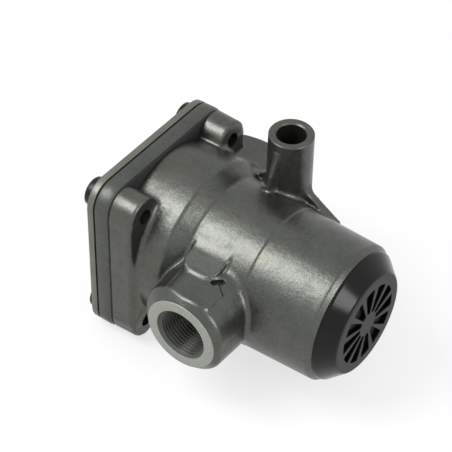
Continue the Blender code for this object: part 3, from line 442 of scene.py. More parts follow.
def crossings(field, axes, values, axis):
    """Where grid edges along one axis pass through the surface, found by halving and chords."""
    low = [slice(None)] * 3
    high = [slice(None)] * 3
    low[axis], high[axis] = slice(0, -1), slice(1, None)
    before, after = values[tuple(low)], values[tuple(high)]
    place = np.argwhere((before < 0) != (after < 0))
    start = np.stack([axes[i][place[:, i]] for i in range(3)], axis=1)
    length = np.diff(axes[axis])[place[:, axis]]
    picked = tuple(place.T)
    near, far = before[picked], after[picked]
    low_share, high_share = np.zeros(len(place)), np.ones(len(place))
    for turn in range(5):
        if turn % 2:
            share = (low_share + high_share) / 2
        else:
            share = low_share + (high_share - low_share) * near / (near - far)
        point = start.copy()
        point[:, axis] += share * length
        value = field(*point.T)
        same = (value < 0) == (near < 0)
        near, low_share = np.where(same, value, near), np.where(same, share, low_share)
        far, high_share = np.where(same, far, value), np.where(same, high_share, share)
    share = low_share + (high_share - low_share) * near / (near - far)
    point = start.copy()
    point[:, axis] += share * length
    return place, point, before[picked] < 0


def graded(low, high, step, fine=()):
    """Grid lines a step apart, and six tenths of a step within each of the fine stretches."""
    lines = [low]
    while lines[-1] < high:
        within = any(a <= lines[-1] < b for a, b in fine)
        lines.append(lines[-1] + step * (0.6 if within else 1.0))
    return np.array(lines)


def surface_of(field, axes):
    """The zero surface of a field: in each grid cell that it crosses, one point that lies best
    on the tangent planes at the cell's crossed edges, and one quad round each crossed edge."""
    values = np.empty([len(axis) for axis in axes])
    v, w = np.meshgrid(axes[1], axes[2], indexing="ij")
    for i, x in enumerate(axes[0]):
        values[i] = field(np.full(v.size, x), v.ravel(), w.ravel()).reshape(v.shape)
    shape = np.array(values.shape) - 1
    cells, normals, points, quads = [], [], [], []
    for axis in range(3):
        place, point, starts_inside = crossings(field, axes, values, axis)
        normal = gradient(field, point)
        u, v = (axis + 1) % 3, (axis + 2) % 3
        ring = []
        for du, dv in ((0, 0), (-1, 0), (-1, -1), (0, -1)):
            cell = place.copy()
            cell[:, u] += du
            cell[:, v] += dv
            ring.append(cell @ np.array([shape[1] * shape[2], shape[2], 1]))
            cells.append(ring[-1])
            normals.append(normal)
            points.append(point)
        ring = np.stack(ring, axis=1)
        quads.append(np.where(starts_inside[:, None], ring, ring[:, ::-1]))
    cells, normals = np.concatenate(cells), np.concatenate(normals)
    points, quads = np.concatenate(points), np.concatenate(quads)
    used, cell_of = np.unique(cells, return_inverse=True)
    count = np.bincount(cell_of).astype(float)
    mean = np.stack([np.bincount(cell_of, points[:, i]) for i in range(3)], 1) / count[:, None]
    offset = np.einsum("ij,ij->i", normals, points - mean[cell_of])
    square = np.zeros((len(used), 3, 3))
    pull = np.zeros((len(used), 3))
    for i in range(3):
        pull[:, i] = np.bincount(cell_of, normals[:, i] * offset)
        for j in range(3):
            square[:, i, j] = np.bincount(cell_of, normals[:, i] * normals[:, j])
    strength, direction = np.linalg.eigh(square)
    inverse = np.where(strength > 0.08, 1 / np.maximum(strength, 1e-9), 0)
    turned = np.einsum("nji,nj->ni", direction, pull) * inverse
    moved = mean + np.einsum("nij,nj->ni", direction, turned)
    corner = np.unravel_index(used, shape)
    least = np.stack([axes[i][corner[i]] for i in range(3)], 1)
    most = np.stack([axes[i][corner[i] + 1] for i in range(3)], 1)
    verts = np.clip(moved, least, most)
    faces = np.searchsorted(used, quads)
    return verts, faces


def corner_normals(field, verts, faces):
    """The field's direction at each face corner, taken a little way in from the corner."""
    middle = verts[faces].mean(axis=1)
    probe = verts[faces] * 0.7 + middle[:, None] * 0.3
    return gradient(field, probe.reshape(-1, 3))


def mesh_object(name, verts, faces, material, normals=None):
    """A smooth-shaded object in the frame from points in millimetres."""
    mesh = bpy.data.meshes.new(name)
    faces = faces if isinstance(faces, list) else faces.tolist()
    mesh.from_pydata(to_world(verts).tolist(), [], faces)
    mesh.polygons.foreach_set("use_smooth", [True] * len(mesh.polygons))
    mesh.materials.append(material)
    if normals is not None:
        mesh.normals_split_custom_set(normals.tolist())
    obj = bpy.data.objects.new(name, mesh)
    bpy.context.scene.collection.objects.link(obj)
    return obj


def grid_faces(rows, columns):
    """Quads of a grid of points stored row by row, with its last column joined to its first."""
    r = np.arange(rows - 1)[:, None]
    c = np.arange(columns)[None, :]
    following = (c + 1) % columns
    corners = (r * columns + c, r * columns + following)
    return np.stack(
        [corners[0], corners[1], corners[1] + columns, corners[0] + columns], axis=-1
    ).reshape(-1, 4)


# Materials


class Nodes:
    """Short calls to build a material's node tree."""

    def __init__(self, name):
        self.material = bpy.data.materials.new(name)
        self.material.use_nodes = True
        self.tree = self.material.node_tree
        self.shader = self.tree.nodes["Principled BSDF"]
        coordinates = self.tree.nodes.new("ShaderNodeTexCoord")
        self.place = coordinates.outputs["Object"]

    def new(self, kind, **values):
        node = self.tree.nodes.new(kind)
        for key, value in values.items():
            setattr(node, key, value)
        return node

    def link(self, source, target):
        self.tree.links.new(source, target)

    def feed(self, socket, value):
        if isinstance(value, bpy.types.NodeSocket):
            self.link(value, socket)
        else:
            socket.default_value = value

    def noise(self, scale, detail=3.0, roughness=0.55, stretch=(1, 1, 1)):
        """Noise whose scale is in bumps for each metre, stretched along the axes."""
        mapping = self.new("ShaderNodeMapping")
        mapping.inputs["Scale"].default_value = stretch
        self.link(self.place, mapping.inputs["Vector"])
        node = self.new("ShaderNodeTexNoise")
        node.inputs["Scale"].default_value = scale
        node.inputs["Detail"].default_value = detail
        node.inputs["Roughness"].default_value = roughness
        self.link(mapping.outputs["Vector"], node.inputs["Vector"])
        return node.outputs["Fac"]

    def ramp(self, value, *stops):
        """A ramp of (position, level) stops, as one grey value."""
        node = self.new("ShaderNodeValToRGB")
        while len(node.color_ramp.elements) < len(stops):
            node.color_ramp.elements.new(0.5)
        for element, (position, level) in zip(node.color_ramp.elements, stops):
            element.position = position
            element.color = (level, level, level, 1)
        self.link(value, node.inputs["Fac"])
        return node.outputs["Color"]

    def math(self, operation, a, b=0.0):
        node = self.new("ShaderNodeMath", operation=operation)
        self.feed(node.inputs[0], a)
        self.feed(node.inputs[1], b)
        return node.outputs["Value"]

    def mix(self, share, a, b, blend="MIX"):
        node = self.new("ShaderNodeMix", data_type="RGBA", blend_type=blend)
        self.feed(node.inputs["Factor"], share)
        for index, value in ((6, a), (7, b)):
            if isinstance(value, tuple) and len(value) == 3:
                value = (*value, 1)
            self.feed(node.inputs[index], value)
        return node.outputs[2]

    def bump(self, height, distance, strength=1.0, under=None):
        node = self.new("ShaderNodeBump")
        node.inputs["Strength"].default_value = strength
        node.inputs["Distance"].default_value = distance
        self.link(height, node.inputs["Height"])
        if under is not None:
            self.link(under, node.inputs["Normal"])
        return node.outputs["Normal"]

    def axis(self, letter):
        split = self.new("ShaderNodeSeparateXYZ")
        self.link(self.place, split.inputs["Vector"])
        return split.outputs[letter]

    def done(self, colour, roughness, metallic, normal=None):
        if isinstance(colour, tuple):
            colour = (*colour[:3], 1)
        self.feed(self.shader.inputs["Base Color"], colour)
        self.feed(self.shader.inputs["Roughness"], roughness)
        self.feed(self.shader.inputs["Metallic"], metallic)
        if normal is not None:
            self.link(normal, self.shader.inputs["Normal"])
        return self.material


def shade(colour, factor):
    """The colour made lighter or darker by a factor."""
    return tuple(channel * factor for channel in colour[:3])


def cast_metal(name, colour, roughness, metallic=0.9, line=False):
    """Die-cast metal: broad mottling, small stains, a skin of fine grain, a slow waviness and,
    where asked for, the ridge of the mould's parting line at the height of the axis."""
    made = Nodes(name)
    broad = made.noise(70, 4, 0.6)
    small = made.noise(900, 3, 0.7)
    stains = made.ramp(made.noise(150, 5, 0.7), (0.52, 0.0), (0.72, 1.0))
    warm = (colour[0] * 1.22, colour[1] * 1.02, colour[2] * 0.9)
    warmth = made.ramp(made.noise(48, 3, 0.6), (0.52, 0.0), (0.68, 0.5))
    cloud = made.ramp(broad, (0.3, 0.0), (0.7, 1.0))
    tone = made.mix(cloud, shade(colour, 0.82), shade(colour, 1.14))
    tone = made.mix(warmth, tone, warm)
    tone = made.mix(made.math("MULTIPLY", stains, 0.4), tone, shade(colour, 0.55))
    speckle = made.ramp(small, (0.38, 0.0), (0.64, 1.0))
    tone = made.mix(made.math("MULTIPLY", speckle, 0.4), tone, shade(colour, 1.5))
    rough = made.math("ADD", made.math("MULTIPLY", broad, 0.2), roughness - 0.1)
    rough = made.math("ADD", rough, made.math("MULTIPLY", stains, 0.1))
    normal = made.bump(made.noise(60, 3, 0.55), 0.0011, 0.4)
    normal = made.bump(made.noise(1000, 3, 0.65), 0.00012, 0.6, normal)
    if line:
        offset = made.math("SUBTRACT", made.axis("Z"), float(START[2]))
        height = made.math("ABSOLUTE", offset)
        ridge = made.ramp(made.math("MULTIPLY", height, 1000.0), (0.15, 1.0), (0.45, 0.0))
        normal = made.bump(ridge, 0.00012, 0.8, normal)
    return made.done(tone, rough, metallic, normal)


def turned_metal(name, colour, roughness, metallic=1.0, along="X", centre=(0, 0), hole=0.0):
    """Metal with the fine rings that a cutting tool leaves round an axis, with painted shade
    within a hole.
    """
    made = Nodes(name)
    fine = made.noise(900, 3, 0.6)
    across = [letter for letter in "XYZ" if letter != along]
    squares = []
    for letter, middle in zip(across, centre):
        offset = made.math("SUBTRACT", made.axis(letter), float(middle))
        squares.append(made.math("MULTIPLY", offset, offset))
    radius = made.math("SQRT", made.math("ADD", *squares))
    rings = made.math("SINE", made.math("MULTIPLY", radius, 22000.0))
    rings = made.math("ADD", rings, fine)
    tone = made.mix(made.ramp(fine, (0.3, 0), (0.7, 1)), shade(colour, 0.88), shade(colour, 1.1))
    # painted shade: inside the given radius the colour drops to a quarter, standing in for the
    # shade deep in a bore
    if hole:
        tone = made.mix(made.math("LESS_THAN", radius, hole), tone, shade(colour, 0.25))
    rough = made.math("ADD", made.math("MULTIPLY", fine, 0.15), roughness - 0.07)
    return made.done(tone, rough, metallic, made.bump(rings, 0.00001, 0.35))


def plated_metal(name, colour, roughness, metallic=0.9):
    """Plated sheet: a slightly cloudy film, faint streaks along the rolling and small scuffs."""
    made = Nodes(name)
    cloud = made.noise(110, 4, 0.6)
    streak = made.noise(260, 3, 0.6, (0.2, 0.2, 5))
    scuff = made.ramp(made.noise(600, 5, 0.75), (0.6, 0), (0.68, 1))
    tone = made.mix(made.ramp(cloud, (0.3, 0), (0.7, 1)), shade(colour, 0.85), shade(colour, 1.12))
    tone = made.mix(made.math("MULTIPLY", scuff, 0.3), tone, shade(colour, 0.55))
    rough = made.math("ADD", made.math("MULTIPLY", streak, 0.25), roughness - 0.12)
    return made.done(tone, rough, metallic, made.bump(streak, 0.00004, 0.4))


def rubber_like(name, colour, roughness, grain=1600):
    """Rubber or sheet: dull, with a fine grain and a little dust."""
    made = Nodes(name)
    fine = made.noise(grain, 3, 0.6)
    dust = made.ramp(made.noise(130, 4, 0.6), (0.45, 0), (0.75, 1))
    tone = made.mix(made.math("MULTIPLY", dust, 0.3), colour[:3], shade(colour, 2.0))
    rough = made.math("ADD", made.math("MULTIPLY", dust, 0.1), roughness)
    return made.done(tone, rough, 0.0, made.bump(fine, 0.00005, 0.5))


def moulded_plastic(name, colour, gloss, matt, edge):
    """Moulded black plastic: polished on the cone, and dull and greyer past the face's edge."""
    made = Nodes(name)
    cloud = made.noise(90, 3, 0.5)
    face = made.math("GREATER_THAN", made.axis("X"), edge)
    made.shader.inputs["Specular IOR Level"].default_value = 0.22
    tone = made.mix(face, colour[:3], shade(colour, 8.0))
    rough = made.math("ADD", made.math("MULTIPLY", face, matt - gloss), gloss)
    rough = made.math("ADD", rough, made.math("MULTIPLY", cloud, 0.06))
    grain = made.bump(made.noise(2200, 2, 0.5), 0.00003, 0.25)
    return made.done(tone, rough, 0.0, made.bump(made.noise(60, 2, 0.5), 0.0006, 0.15, grain))


# Settings


class ValveCastingSettings(bpy.types.PropertyGroup):
    step: FloatProperty(
        name="Step",
        description="Grid step of the casting's surface, in millimetres",
        default=1.0,
        min=0.7,
    )
    colour: FloatVectorProperty(
        name="Colour",
        description="Colour of the cast metal",
        subtype="COLOR",
        default=(0.084, 0.088, 0.08),
    )
    roughness: FloatProperty(
        name="Roughness", description="Roughness of the cast skin", subtype="FACTOR", default=0.33
    )
    machined: FloatVectorProperty(
        name="Machined",
        description="Colour of the machined port rings",
        subtype="COLOR",
        default=(0.27, 0.285, 0.25),
    )


class ValvePortSettings(bpy.types.PropertyGroup):
    pitch: FloatProperty(
        name="Pitch", description="Thread pitch, in millimetres", default=1.5, min=0.5
    )
    root: FloatProperty(
        name="Root", description="Radius at the thread's root, in millimetres", default=11.0
    )
    crest: FloatProperty(
        name="Crest", description="Radius at the thread's crest, in millimetres", default=10.15
    )


class ValveCapSettings(bpy.types.PropertyGroup):
    windows: IntProperty(
        name="Windows", description="Number of windows in the face", default=12, min=3
    )
    step: FloatProperty(
        name="Step",
        description="Grid step of the cap's surface, in millimetres",
        default=0.4,
        min=0.25,
    )
    colour: FloatVectorProperty(
        name="Colour",
        description="Colour of the plastic",
        subtype="COLOR",
        default=(0.003, 0.003, 0.003),
    )


class ValveCoverSettings(bpy.types.PropertyGroup):
    plate: FloatVectorProperty(
        name="Plate",
        description="Colour of the zinc plate",
        subtype="COLOR",
        default=(0.15, 0.157, 0.132),
    )
    cover: FloatVectorProperty(
        name="Cover",
        description="Colour of the cast cover",
        subtype="COLOR",
        default=(0.072, 0.077, 0.07),
    )
    edge: FloatProperty(
        name="Edge", description="Width of the softened edges", subtype="DISTANCE", default=0.0004
    )


class ValveStageSettings(bpy.types.PropertyGroup):
    key: FloatProperty(
        name="Key", description="Brightness of the large softbox", default=9.0, min=0
    )
    side: FloatProperty(
        name="Side", description="Brightness of the softbox on the cap's side", default=8.0, min=0
    )
    room: FloatProperty(name="Room", description="Brightness of the pale room", default=0.7, min=0)
    lens: FloatProperty(name="Lens", description="Focal length, in millimetres", default=137.77)


# Pieces


class VALVE_OT_casting(bpy.types.Operator):
    """Build the cast body from its field"""

    bl_idname = "valve.casting"
    bl_label = "Cast body"

    def execute(self, context):
        settings = context.scene.valve_casting
        skin = cast_metal("die_cast_skin", settings.colour, settings.roughness, line=True)
        step = settings.step
        axes = (
            graded(BODY_X - 1.13, BODY_END + 1.1, step, [(39.0, 76.0)]),
            graded(-PORT_REACH - 0.87, PORT_REACH + 1.0, step, [(-PORT_REACH - 1, -31.0)]),
            graded(-39.7, TUBE_TOP + 1.2, step, [(10.0, 22.0)]),
        )
        verts, faces = surface_of(casting_field, axes)
        normals = corner_normals(casting_field, verts, faces)
        body = mesh_object("cast_body", verts, faces, skin, normals)
        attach(body, "housing")
        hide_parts("valve_body")
        return {"FINISHED"}


def thread_liner(name, port_x, side, ring, settings, material):
    """A threaded sleeve with the machined ring on its end: the ring's face, a chamfered mouth,
    a helix whose radius swings between crest and root once for each pitch, and a plain back."""
    around = 96
    back = PORT_DEPTH - 0.5
    collar = PORT_RAISED + 0.6
    depth = np.arange(0.0, back, settings.pitch / 8)
    angle = np.linspace(0, 2 * math.pi, around, endpoint=False)
    turns = depth[:, None] / settings.pitch + angle[None, :] / (2 * math.pi)
    swing = np.abs((turns % 1.0) * 2 - 1)
    swing = np.clip((swing - 0.12) / 0.72, 0, 1)
    inner = settings.crest + (settings.root - settings.crest) * swing
    mouth = MOUTH_RADIUS - depth[:, None] * 1.1
    fade = np.clip((depth[:, None] - (PORT_DEPTH - 3.0)) / 1.2, 0, 1)
    inner = np.maximum(inner, mouth) * (1 - fade) + settings.crest * fade
    outer = LINER_RADIUS + 0.25
    rows = [
        (outer, back),
        (outer, collar),
        (ring, collar),
        (ring, PORT_RAISED * 0.9),
        (ring - 0.1, 0.1),
        (ring - 0.28, 0.0),
        (MOUTH_RADIUS + 1.6, 0.0),
        (MOUTH_RADIUS + 0.08, 0.0),
    ]
    radii = [np.full(around, radius) for radius, _ in rows]
    depths = [np.full(around, place) for _, place in rows]
    radii = np.array(radii + list(inner) + [radii[0]])
    depths = np.array(depths + [np.full(around, place) for place in depth] + [depths[0]])
    x = port_x + radii * np.cos(angle)
    y = side * (PORT_REACH - depths)
    z = radii * np.sin(angle)
    verts = np.stack([x, y, z], axis=-1).reshape(-1, 3)
    faces = grid_faces(len(radii), around)
    if side > 0:
        faces = faces[:, ::-1]
    liner = mesh_object(name, verts, faces, material)
    liner.data.set_sharp_from_angle(angle=math.radians(38))
    return liner


class VALVE_OT_port_threads(bpy.types.Operator):
    """Build the threaded mouths of both ports with their machined rings"""

    bl_idname = "valve.port_threads"
    bl_label = "Port threads"

    def execute(self, context):
        settings = context.scene.valve_ports
        colour = context.scene.valve_casting.machined
        for name, x, side, ring in (
            ("outlet_port_thread", OUTLET_X, -1, OUTLET_RING),
            ("inlet_port_thread", INLET_X, 1, INLET_RING),
        ):
            centre = to_world((x, 0, 0))
            across = (centre[0], centre[2])
            # the threads within this radius get painted shade, a darker tone standing in for the
            # shade in the bore
            hole = (MOUTH_RADIUS - 0.1) * MM
            finish = turned_metal(name + "_metal", colour, 0.5, 0.5, "Y", across, hole)
            liner = thread_liner(name, x, side, ring, settings, finish)
            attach(liner, "housing")
        return {"FINISHED"}


class VALVE_OT_vent_cap(bpy.types.Operator):
    """Build the vent cap with its ring of windows"""

    bl_idname = "valve.vent_cap"
    bl_label = "Vent cap"

    def execute(self, context):
        settings = context.scene.valve_cap
        count = settings.windows

        def cap_field(x, y, z):
            """Cone and skirt, less the hollow round the flap's pin, less the windows."""
            r = np.hypot(y, z)
            slope = (CAP_RADIUS - CAP_FACE) / (CAP_END - CAP_X - 0.8)
            cone = (r - CAP_RADIUS + slope * (x - CAP_X - 0.6)) / math.hypot(1, slope)
            shell = smooth_max(r - CAP_RADIUS, cone, 0.5)
            shell = smooth_max(shell, x - CAP_END, 0.9)
            shell = np.maximum(shell, CAP_X - x)
            skirt_start = CAP_X - CAP_SKIRT_LENGTH
            skirt = rod_field(r, x, skirt_start, CAP_X + 1, CAP_SKIRT)
            outside = np.minimum(shell, skirt)
            ceiling = x - CAP_END + CAP_WALL
            roof = (r - ROOF_RADIUS + ROOF_SLOPE * ceiling) / math.hypot(1, ROOF_SLOPE)
            hollow = np.maximum(np.maximum(r - CAP_INSIDE, roof), ceiling)
            turn = (np.arctan2(z, y) / (2 * math.pi) * count + 0.5) % 1.0 - 0.5
            across = (np.abs(turn) / count * 2 * math.pi - WINDOW_SPREAD) * r
            window = smooth_max(across, np.abs(r - WINDOW_MIDDLE) - WINDOW_HALF, 0.8)
            cut = np.maximum(window, CAP_END - WINDOW_DEPTH - x)
            pin_start = CAP_END - PIN_LENGTH
            pin = np.maximum(r - PIN_RADIUS, pin_start - x)
            head = rod_field(r, x, pin_start, pin_start + 0.8, PIN_HEAD)
            hollow = np.maximum(hollow, -np.minimum(pin, head))
            solid = np.maximum(outside, -hollow)
            return np.maximum(solid, -cut)

        face_start = float(to_world((CAP_END - 0.3, 0, 0))[0])
        finish = moulded_plastic("cap_plastic", settings.colour, 0.13, 0.5, face_start)
        across = graded(-CAP_RADIUS - 0.83, CAP_RADIUS + 0.8, settings.step)
        axes = (graded(CAP_X - 4.03, CAP_END + 0.8, settings.step), across, across)
        verts, faces = surface_of(cap_field, axes)
        normals = corner_normals(cap_field, verts, faces)
        cap = mesh_object("cone_cap", verts, faces, finish, normals)
        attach(cap, "cap_assembly")
        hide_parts("vent_cap")
        return {"FINISHED"}


def screw_rings(y, z):
    """A socket screw in rings round its axis: hexagon socket, dished head top, rounded rim,
    and a shank whose radius swings with the thread, turn by turn."""
    around = 72
    angle = np.linspace(0, 2 * math.pi, around, endpoint=False)
    six = HEX_RADIUS * math.cos(math.pi / 6) / np.cos((angle % (math.pi / 3)) - math.pi / 6)
    seat = -HEAD_GAP
    top = seat - HEAD_HEIGHT
    rows = [
        (np.full(around, 0.02), top + 2.6),
        (six * 0.5, top + 2.55),
        (six, top + 2.4),
        (six, top + 0.25),
        (six * 1.06, top + 0.03),
        (np.full(around, HEX_RADIUS + 0.45), top),
        (np.full(around, HEAD_RADIUS - 0.75), top),
        (np.full(around, HEAD_RADIUS - 0.35), top + 0.1),
        (np.full(around, HEAD_RADIUS - 0.1), top + 0.35),
        (np.full(around, HEAD_RADIUS), top + 0.75),
        (np.full(around, HEAD_RADIUS), seat - 0.45),
        (np.full(around, HEAD_RADIUS - 0.2), seat - 0.05),
        (np.full(around, HEAD_RADIUS - 0.6), seat),
        (np.full(around, SHANK_RADIUS), seat),
        (np.full(around, SHANK_RADIUS), 4.0),
    ]
    depths = np.arange(4.0, SHANK_LENGTH - 1.2, SCREW_PITCH / 8)
    turns = depths[:, None] / SCREW_PITCH + angle[None, :] / (2 * math.pi)
    thread = SHANK_RADIUS - 0.55 * np.abs((turns % 1.0) * 2 - 1)
    rows += list(zip(thread, depths))
    rows.append((np.full(around, 2.3), SHANK_LENGTH - 0.6))
    rows.append((np.full(around, 0.02), SHANK_LENGTH - 0.3))
    radii = np.array([radius for radius, _ in rows])
    places = np.array([[place] * around for _, place in rows])
    verts = np.stack(
        [places, y + radii * np.cos(angle), z + radii * np.sin(angle)], axis=-1
    ).reshape(-1, 3)
    faces = [list(face) for face in grid_faces(len(rows), around)]
    faces.append(list(range(around))[::-1])
    last = (len(rows) - 1) * around
    faces.append([last + i for i in range(around)])
    return verts, faces


class VALVE_OT_cover_screws(bpy.types.Operator):
    """Build the four cover screws with their sockets and threads"""

    bl_idname = "valve.cover_screws"
    bl_label = "Cover screws"

    def execute(self, context):
        finish = plated_metal("black_oxide", (0.012, 0.0125, 0.014), 0.32, 0.6)
        for node, (y, z) in SCREW_PLACES.items():
            verts, faces = screw_rings(y, z)
            screw = mesh_object(node + "_socket_head", verts, faces, finish)
            screw.data.set_sharp_from_angle(angle=math.radians(35))
            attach(screw, "housing")
            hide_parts(node)
        return {"FINISHED"}


def dress(node, material, edge=0.0, segments=3, angle=35):
    """Finishes a carried-over node: joined corners, softened edges and smooth shading."""
    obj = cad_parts[node]
    obj.data.materials.clear()
    obj.data.materials.append(material)
    weld = obj.modifiers.new("join", "WELD")
    weld.merge_threshold = 0.000002
    if edge:
        bevel = obj.modifiers.new("edges", "BEVEL")
        bevel.width = edge
        bevel.segments = segments
        bevel.limit_method = "ANGLE"
        bevel.angle_limit = math.radians(angle)
        bevel.use_clamp_overlap = True
        bevel.harden_normals = False
    obj.data.polygons.foreach_set("use_smooth", [True] * len(obj.data.polygons))
    return obj


def setpoint_coil(material):
    """A copy of the setpoint spring, put in the node's place and carried with the housing."""
    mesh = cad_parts["main_spring"].data.copy()
    mesh.materials.clear()
    mesh.materials.append(material)
    mesh.polygons.foreach_set("use_smooth", [True] * len(mesh.polygons))
    coil = bpy.data.objects.new("setpoint_coil", mesh)
    bpy.context.scene.collection.objects.link(coil)
    weld = coil.modifiers.new("join", "WELD")
    weld.merge_threshold = 0.000002
    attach(coil, "housing")
    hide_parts("main_spring")
    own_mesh(coil)


class VALVE_OT_cover_stack(bpy.types.Operator):
    """Finish the cover plate, the end cover and the two gaskets"""

    bl_idname = "valve.cover_stack"
    bl_label = "Cover stack"

    def execute(self, context):
        settings = context.scene.valve_cover
        zinc = plated_metal("zinc_plate", settings.plate, 0.4, 0.8)
        cover = cast_metal("cover_skin", settings.cover, 0.4, 0.8)
        sheet = rubber_like("gasket_sheet", (0.012, 0.013, 0.012), 0.7)
        dress("cover_plate", zinc, settings.edge)
        dress("end_cover", cover, settings.edge)
        dress("cover_gasket", sheet, 0.00005, 2)
        dress("body_gasket", sheet, 0.00005, 2)
        return {"FINISHED"}


class VALVE_OT_inner_parts(bpy.types.Operator):
    """Finish the pieces inside the casting"""

    bl_idname = "valve.inner_parts"
    bl_label = "Inner parts"

    def execute(self, context):
        centre = (0.0, float(START[2]))
        brass = turned_metal("turned_brass", (0.5, 0.33, 0.12), 0.3, 1.0, "X", centre)
        steel = turned_metal("spring_wire", (0.17, 0.17, 0.175), 0.3, 1.0, "X", centre)
        light = turned_metal("turned_light_metal", (0.5, 0.5, 0.5), 0.28, 1.0, "X", centre)
        zinc = plated_metal("zinc_film", (0.42, 0.43, 0.36), 0.35, 0.9)
        black = plated_metal("black_film", (0.02, 0.02, 0.022), 0.35, 0.7)
        rubber = rubber_like("soft_rubber", (0.012, 0.012, 0.012), 0.6)
        band = rubber_like("band_plastic", (0.05, 0.1, 0.06), 0.5)
        edge = 0.00015
        for node in ("valve_guide", "inlet_valve"):
            dress(node, brass, edge)
        dress("valve_spring", steel, 0.0, angle=60)
        setpoint_coil(steel)
        for node in ("spring_seat", "adjusting_screw"):
            dress(node, steel, edge)
        dress("piston", light, edge)
        for node in ("lock_nut", "end_bridge"):
            dress(node, zinc, edge)
        dress("circlip", black, edge)
        for node in ("guide_o_ring", "tail_o_ring", "valve_seal", "piston_seal", "vent_flap"):
            dress(node, rubber, 0.0, angle=60)
        dress("piston_guide_band", band, 0.0001)
        return {"FINISHED"}


# Stage


def softbox(name, direction, width, height, strength):
    """A rectangular lamp turned to the valve, whose radiance in reflections is its strength."""
    target = Vector(VALVE_MIDDLE)
    centre = target + Vector(direction).normalized() * LAMP_DISTANCE
    light = bpy.data.lights.new(name, "AREA")
    light.shape = "RECTANGLE"
    light.size, light.size_y = width, height
    light.energy = strength * width * height * math.pi
    obj = bpy.data.objects.new(name, light)
    obj.location = centre
    obj.rotation_euler = (target - centre).to_track_quat("-Z", "Y").to_euler()
    bpy.context.scene.collection.objects.link(obj)


def seen_directly(tree):
    """One for rays from the camera, off shiny surfaces and through clear ones, else nothing."""
    path = tree.nodes.new("ShaderNodeLightPath")
    total = path.outputs["Is Camera Ray"]
    for name in ("Is Glossy Ray", "Is Transmission Ray"):
        either = tree.nodes.new("ShaderNodeMath")
        either.operation = "MAXIMUM"
        tree.links.new(total, either.inputs[0])
        tree.links.new(path.outputs[name], either.inputs[1])
        total = either.outputs["Value"]
    return total


class VALVE_OT_stage(bpy.types.Operator):
    """Set the floor, the lamps, the room and the camera"""

    bl_idname = "valve.stage"
    bl_label = "Stage"

    def execute(self, context):
        settings = context.scene.valve_stage
        scene = context.scene

        floor_mesh = bpy.data.meshes.new("floor")
        signs = ((-1, -1), (1, -1), (1, 1), (-1, 1))
        corners = [(x * FLOOR_REACH, y * FLOOR_REACH, 0) for x, y in signs]
        floor_mesh.from_pydata(corners, [], [(0, 1, 2, 3)])
        made = Nodes("pale_floor")
        made.done((0.85, 0.85, 0.85), 0.9, 0.0)
        glow = made.new("ShaderNodeEmission")
        blend = made.new("ShaderNodeMixShader")
        share = made.math("MULTIPLY", seen_directly(made.tree), FLOOR_GLOW)
        made.link(share, blend.inputs["Fac"])
        made.link(made.shader.outputs["BSDF"], blend.inputs[1])
        made.link(glow.outputs["Emission"], blend.inputs[2])
        output = made.tree.nodes["Material Output"]
        made.link(blend.outputs["Shader"], output.inputs["Surface"])
        floor_mesh.materials.append(made.material)
        floor = bpy.data.objects.new("floor", floor_mesh)
        floor.location.z = -FLOOR_DROP
        scene.collection.objects.link(floor)

        world = bpy.data.worlds.new("pale_room")
        scene.world = world
        world.use_nodes = True
        tree = world.node_tree
        back = tree.nodes["Background"]
        level = tree.nodes.new("ShaderNodeMapRange")
        level.inputs["To Min"].default_value = settings.room
        level.inputs["To Max"].default_value = 1.0
        tree.links.new(seen_directly(tree), level.inputs["Value"])
        tree.links.new(level.outputs["Result"], back.inputs["Strength"])
        back.inputs["Color"].default_value = (1, 1, 1, 1)

        softbox("key_softbox", KEY_DIRECTION, 0.42, 0.5, settings.key)
        softbox("side_softbox", SIDE_DIRECTION, 0.34, 0.34, settings.side)

        camera_data = bpy.data.cameras.new("camera")
        camera_data.lens = settings.lens
        camera_data.sensor_width = 36
        camera_data.sensor_fit = "HORIZONTAL"
        camera = bpy.data.objects.new("camera", camera_data)
        turn = Matrix((CAMERA_RIGHT, CAMERA_UP, CAMERA_BACK)).transposed().to_4x4()
        place = Vector(to_world(CAMERA_PLACE))
        camera.matrix_world = Matrix.Translation(place) @ turn
        scene.collection.objects.link(camera)
        scene.camera = camera
        scene.view_settings.view_transform = "Standard"
        return {"FINISHED"}


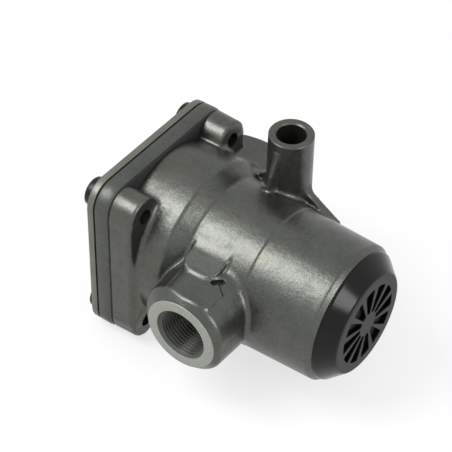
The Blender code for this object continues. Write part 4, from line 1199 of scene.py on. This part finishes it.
class VALVE_PT_panel(bpy.types.Panel):
    """Lists the steps that build the valve"""

    bl_label = "Pressure limiting valve"
    bl_idname = "VALVE_PT_panel"
    bl_space_type = "VIEW_3D"
    bl_region_type = "UI"
    bl_category = "Valve"

    def draw(self, context):
        scene = context.scene
        groups = (
            (scene.valve_casting, ("step", "colour", "roughness", "machined"), "valve.casting"),
            (scene.valve_ports, ("pitch", "root", "crest"), "valve.port_threads"),
            (scene.valve_cap, ("windows", "step", "colour"), "valve.vent_cap"),
            (scene.valve_cover, ("plate", "cover", "edge"), "valve.cover_stack"),
            (None, (), "valve.cover_screws"),
            (None, (), "valve.inner_parts"),
            (scene.valve_stage, ("key", "side", "room", "lens"), "valve.stage"),
        )
        for settings, names, operator in groups:
            box = self.layout.box()
            for name in names:
                box.prop(settings, name)
            box.operator(operator)


SETTINGS = {
    "valve_casting": ValveCastingSettings,
    "valve_ports": ValvePortSettings,
    "valve_cap": ValveCapSettings,
    "valve_cover": ValveCoverSettings,
    "valve_stage": ValveStageSettings,
}
OPERATORS = (
    VALVE_OT_casting,
    VALVE_OT_port_threads,
    VALVE_OT_vent_cap,
    VALVE_OT_cover_stack,
    VALVE_OT_cover_screws,
    VALVE_OT_inner_parts,
    VALVE_OT_stage,
)


def register():
    """Adds the settings, the steps and the panel."""
    for name, group in SETTINGS.items():
        bpy.utils.register_class(group)
        setattr(bpy.types.Scene, name, PointerProperty(type=group))
    for operator in OPERATORS:
        bpy.utils.register_class(operator)
    bpy.utils.register_class(VALVE_PT_panel)


def unregister():
    """Takes the panel, the steps and the settings away again."""
    bpy.utils.unregister_class(VALVE_PT_panel)
    for operator in reversed(OPERATORS):
        bpy.utils.unregister_class(operator)
    for name, group in reversed(list(SETTINGS.items())):
        delattr(bpy.types.Scene, name)
        bpy.utils.unregister_class(group)


def main():
    """Builds every piece and the stage."""
    register()
    bpy.ops.valve.casting()
    bpy.ops.valve.port_threads()
    bpy.ops.valve.vent_cap()
    bpy.ops.valve.cover_stack()
    bpy.ops.valve.cover_screws()
    bpy.ops.valve.inner_parts()
    bpy.ops.valve.stage()


if __name__ == "__main__":
    main()
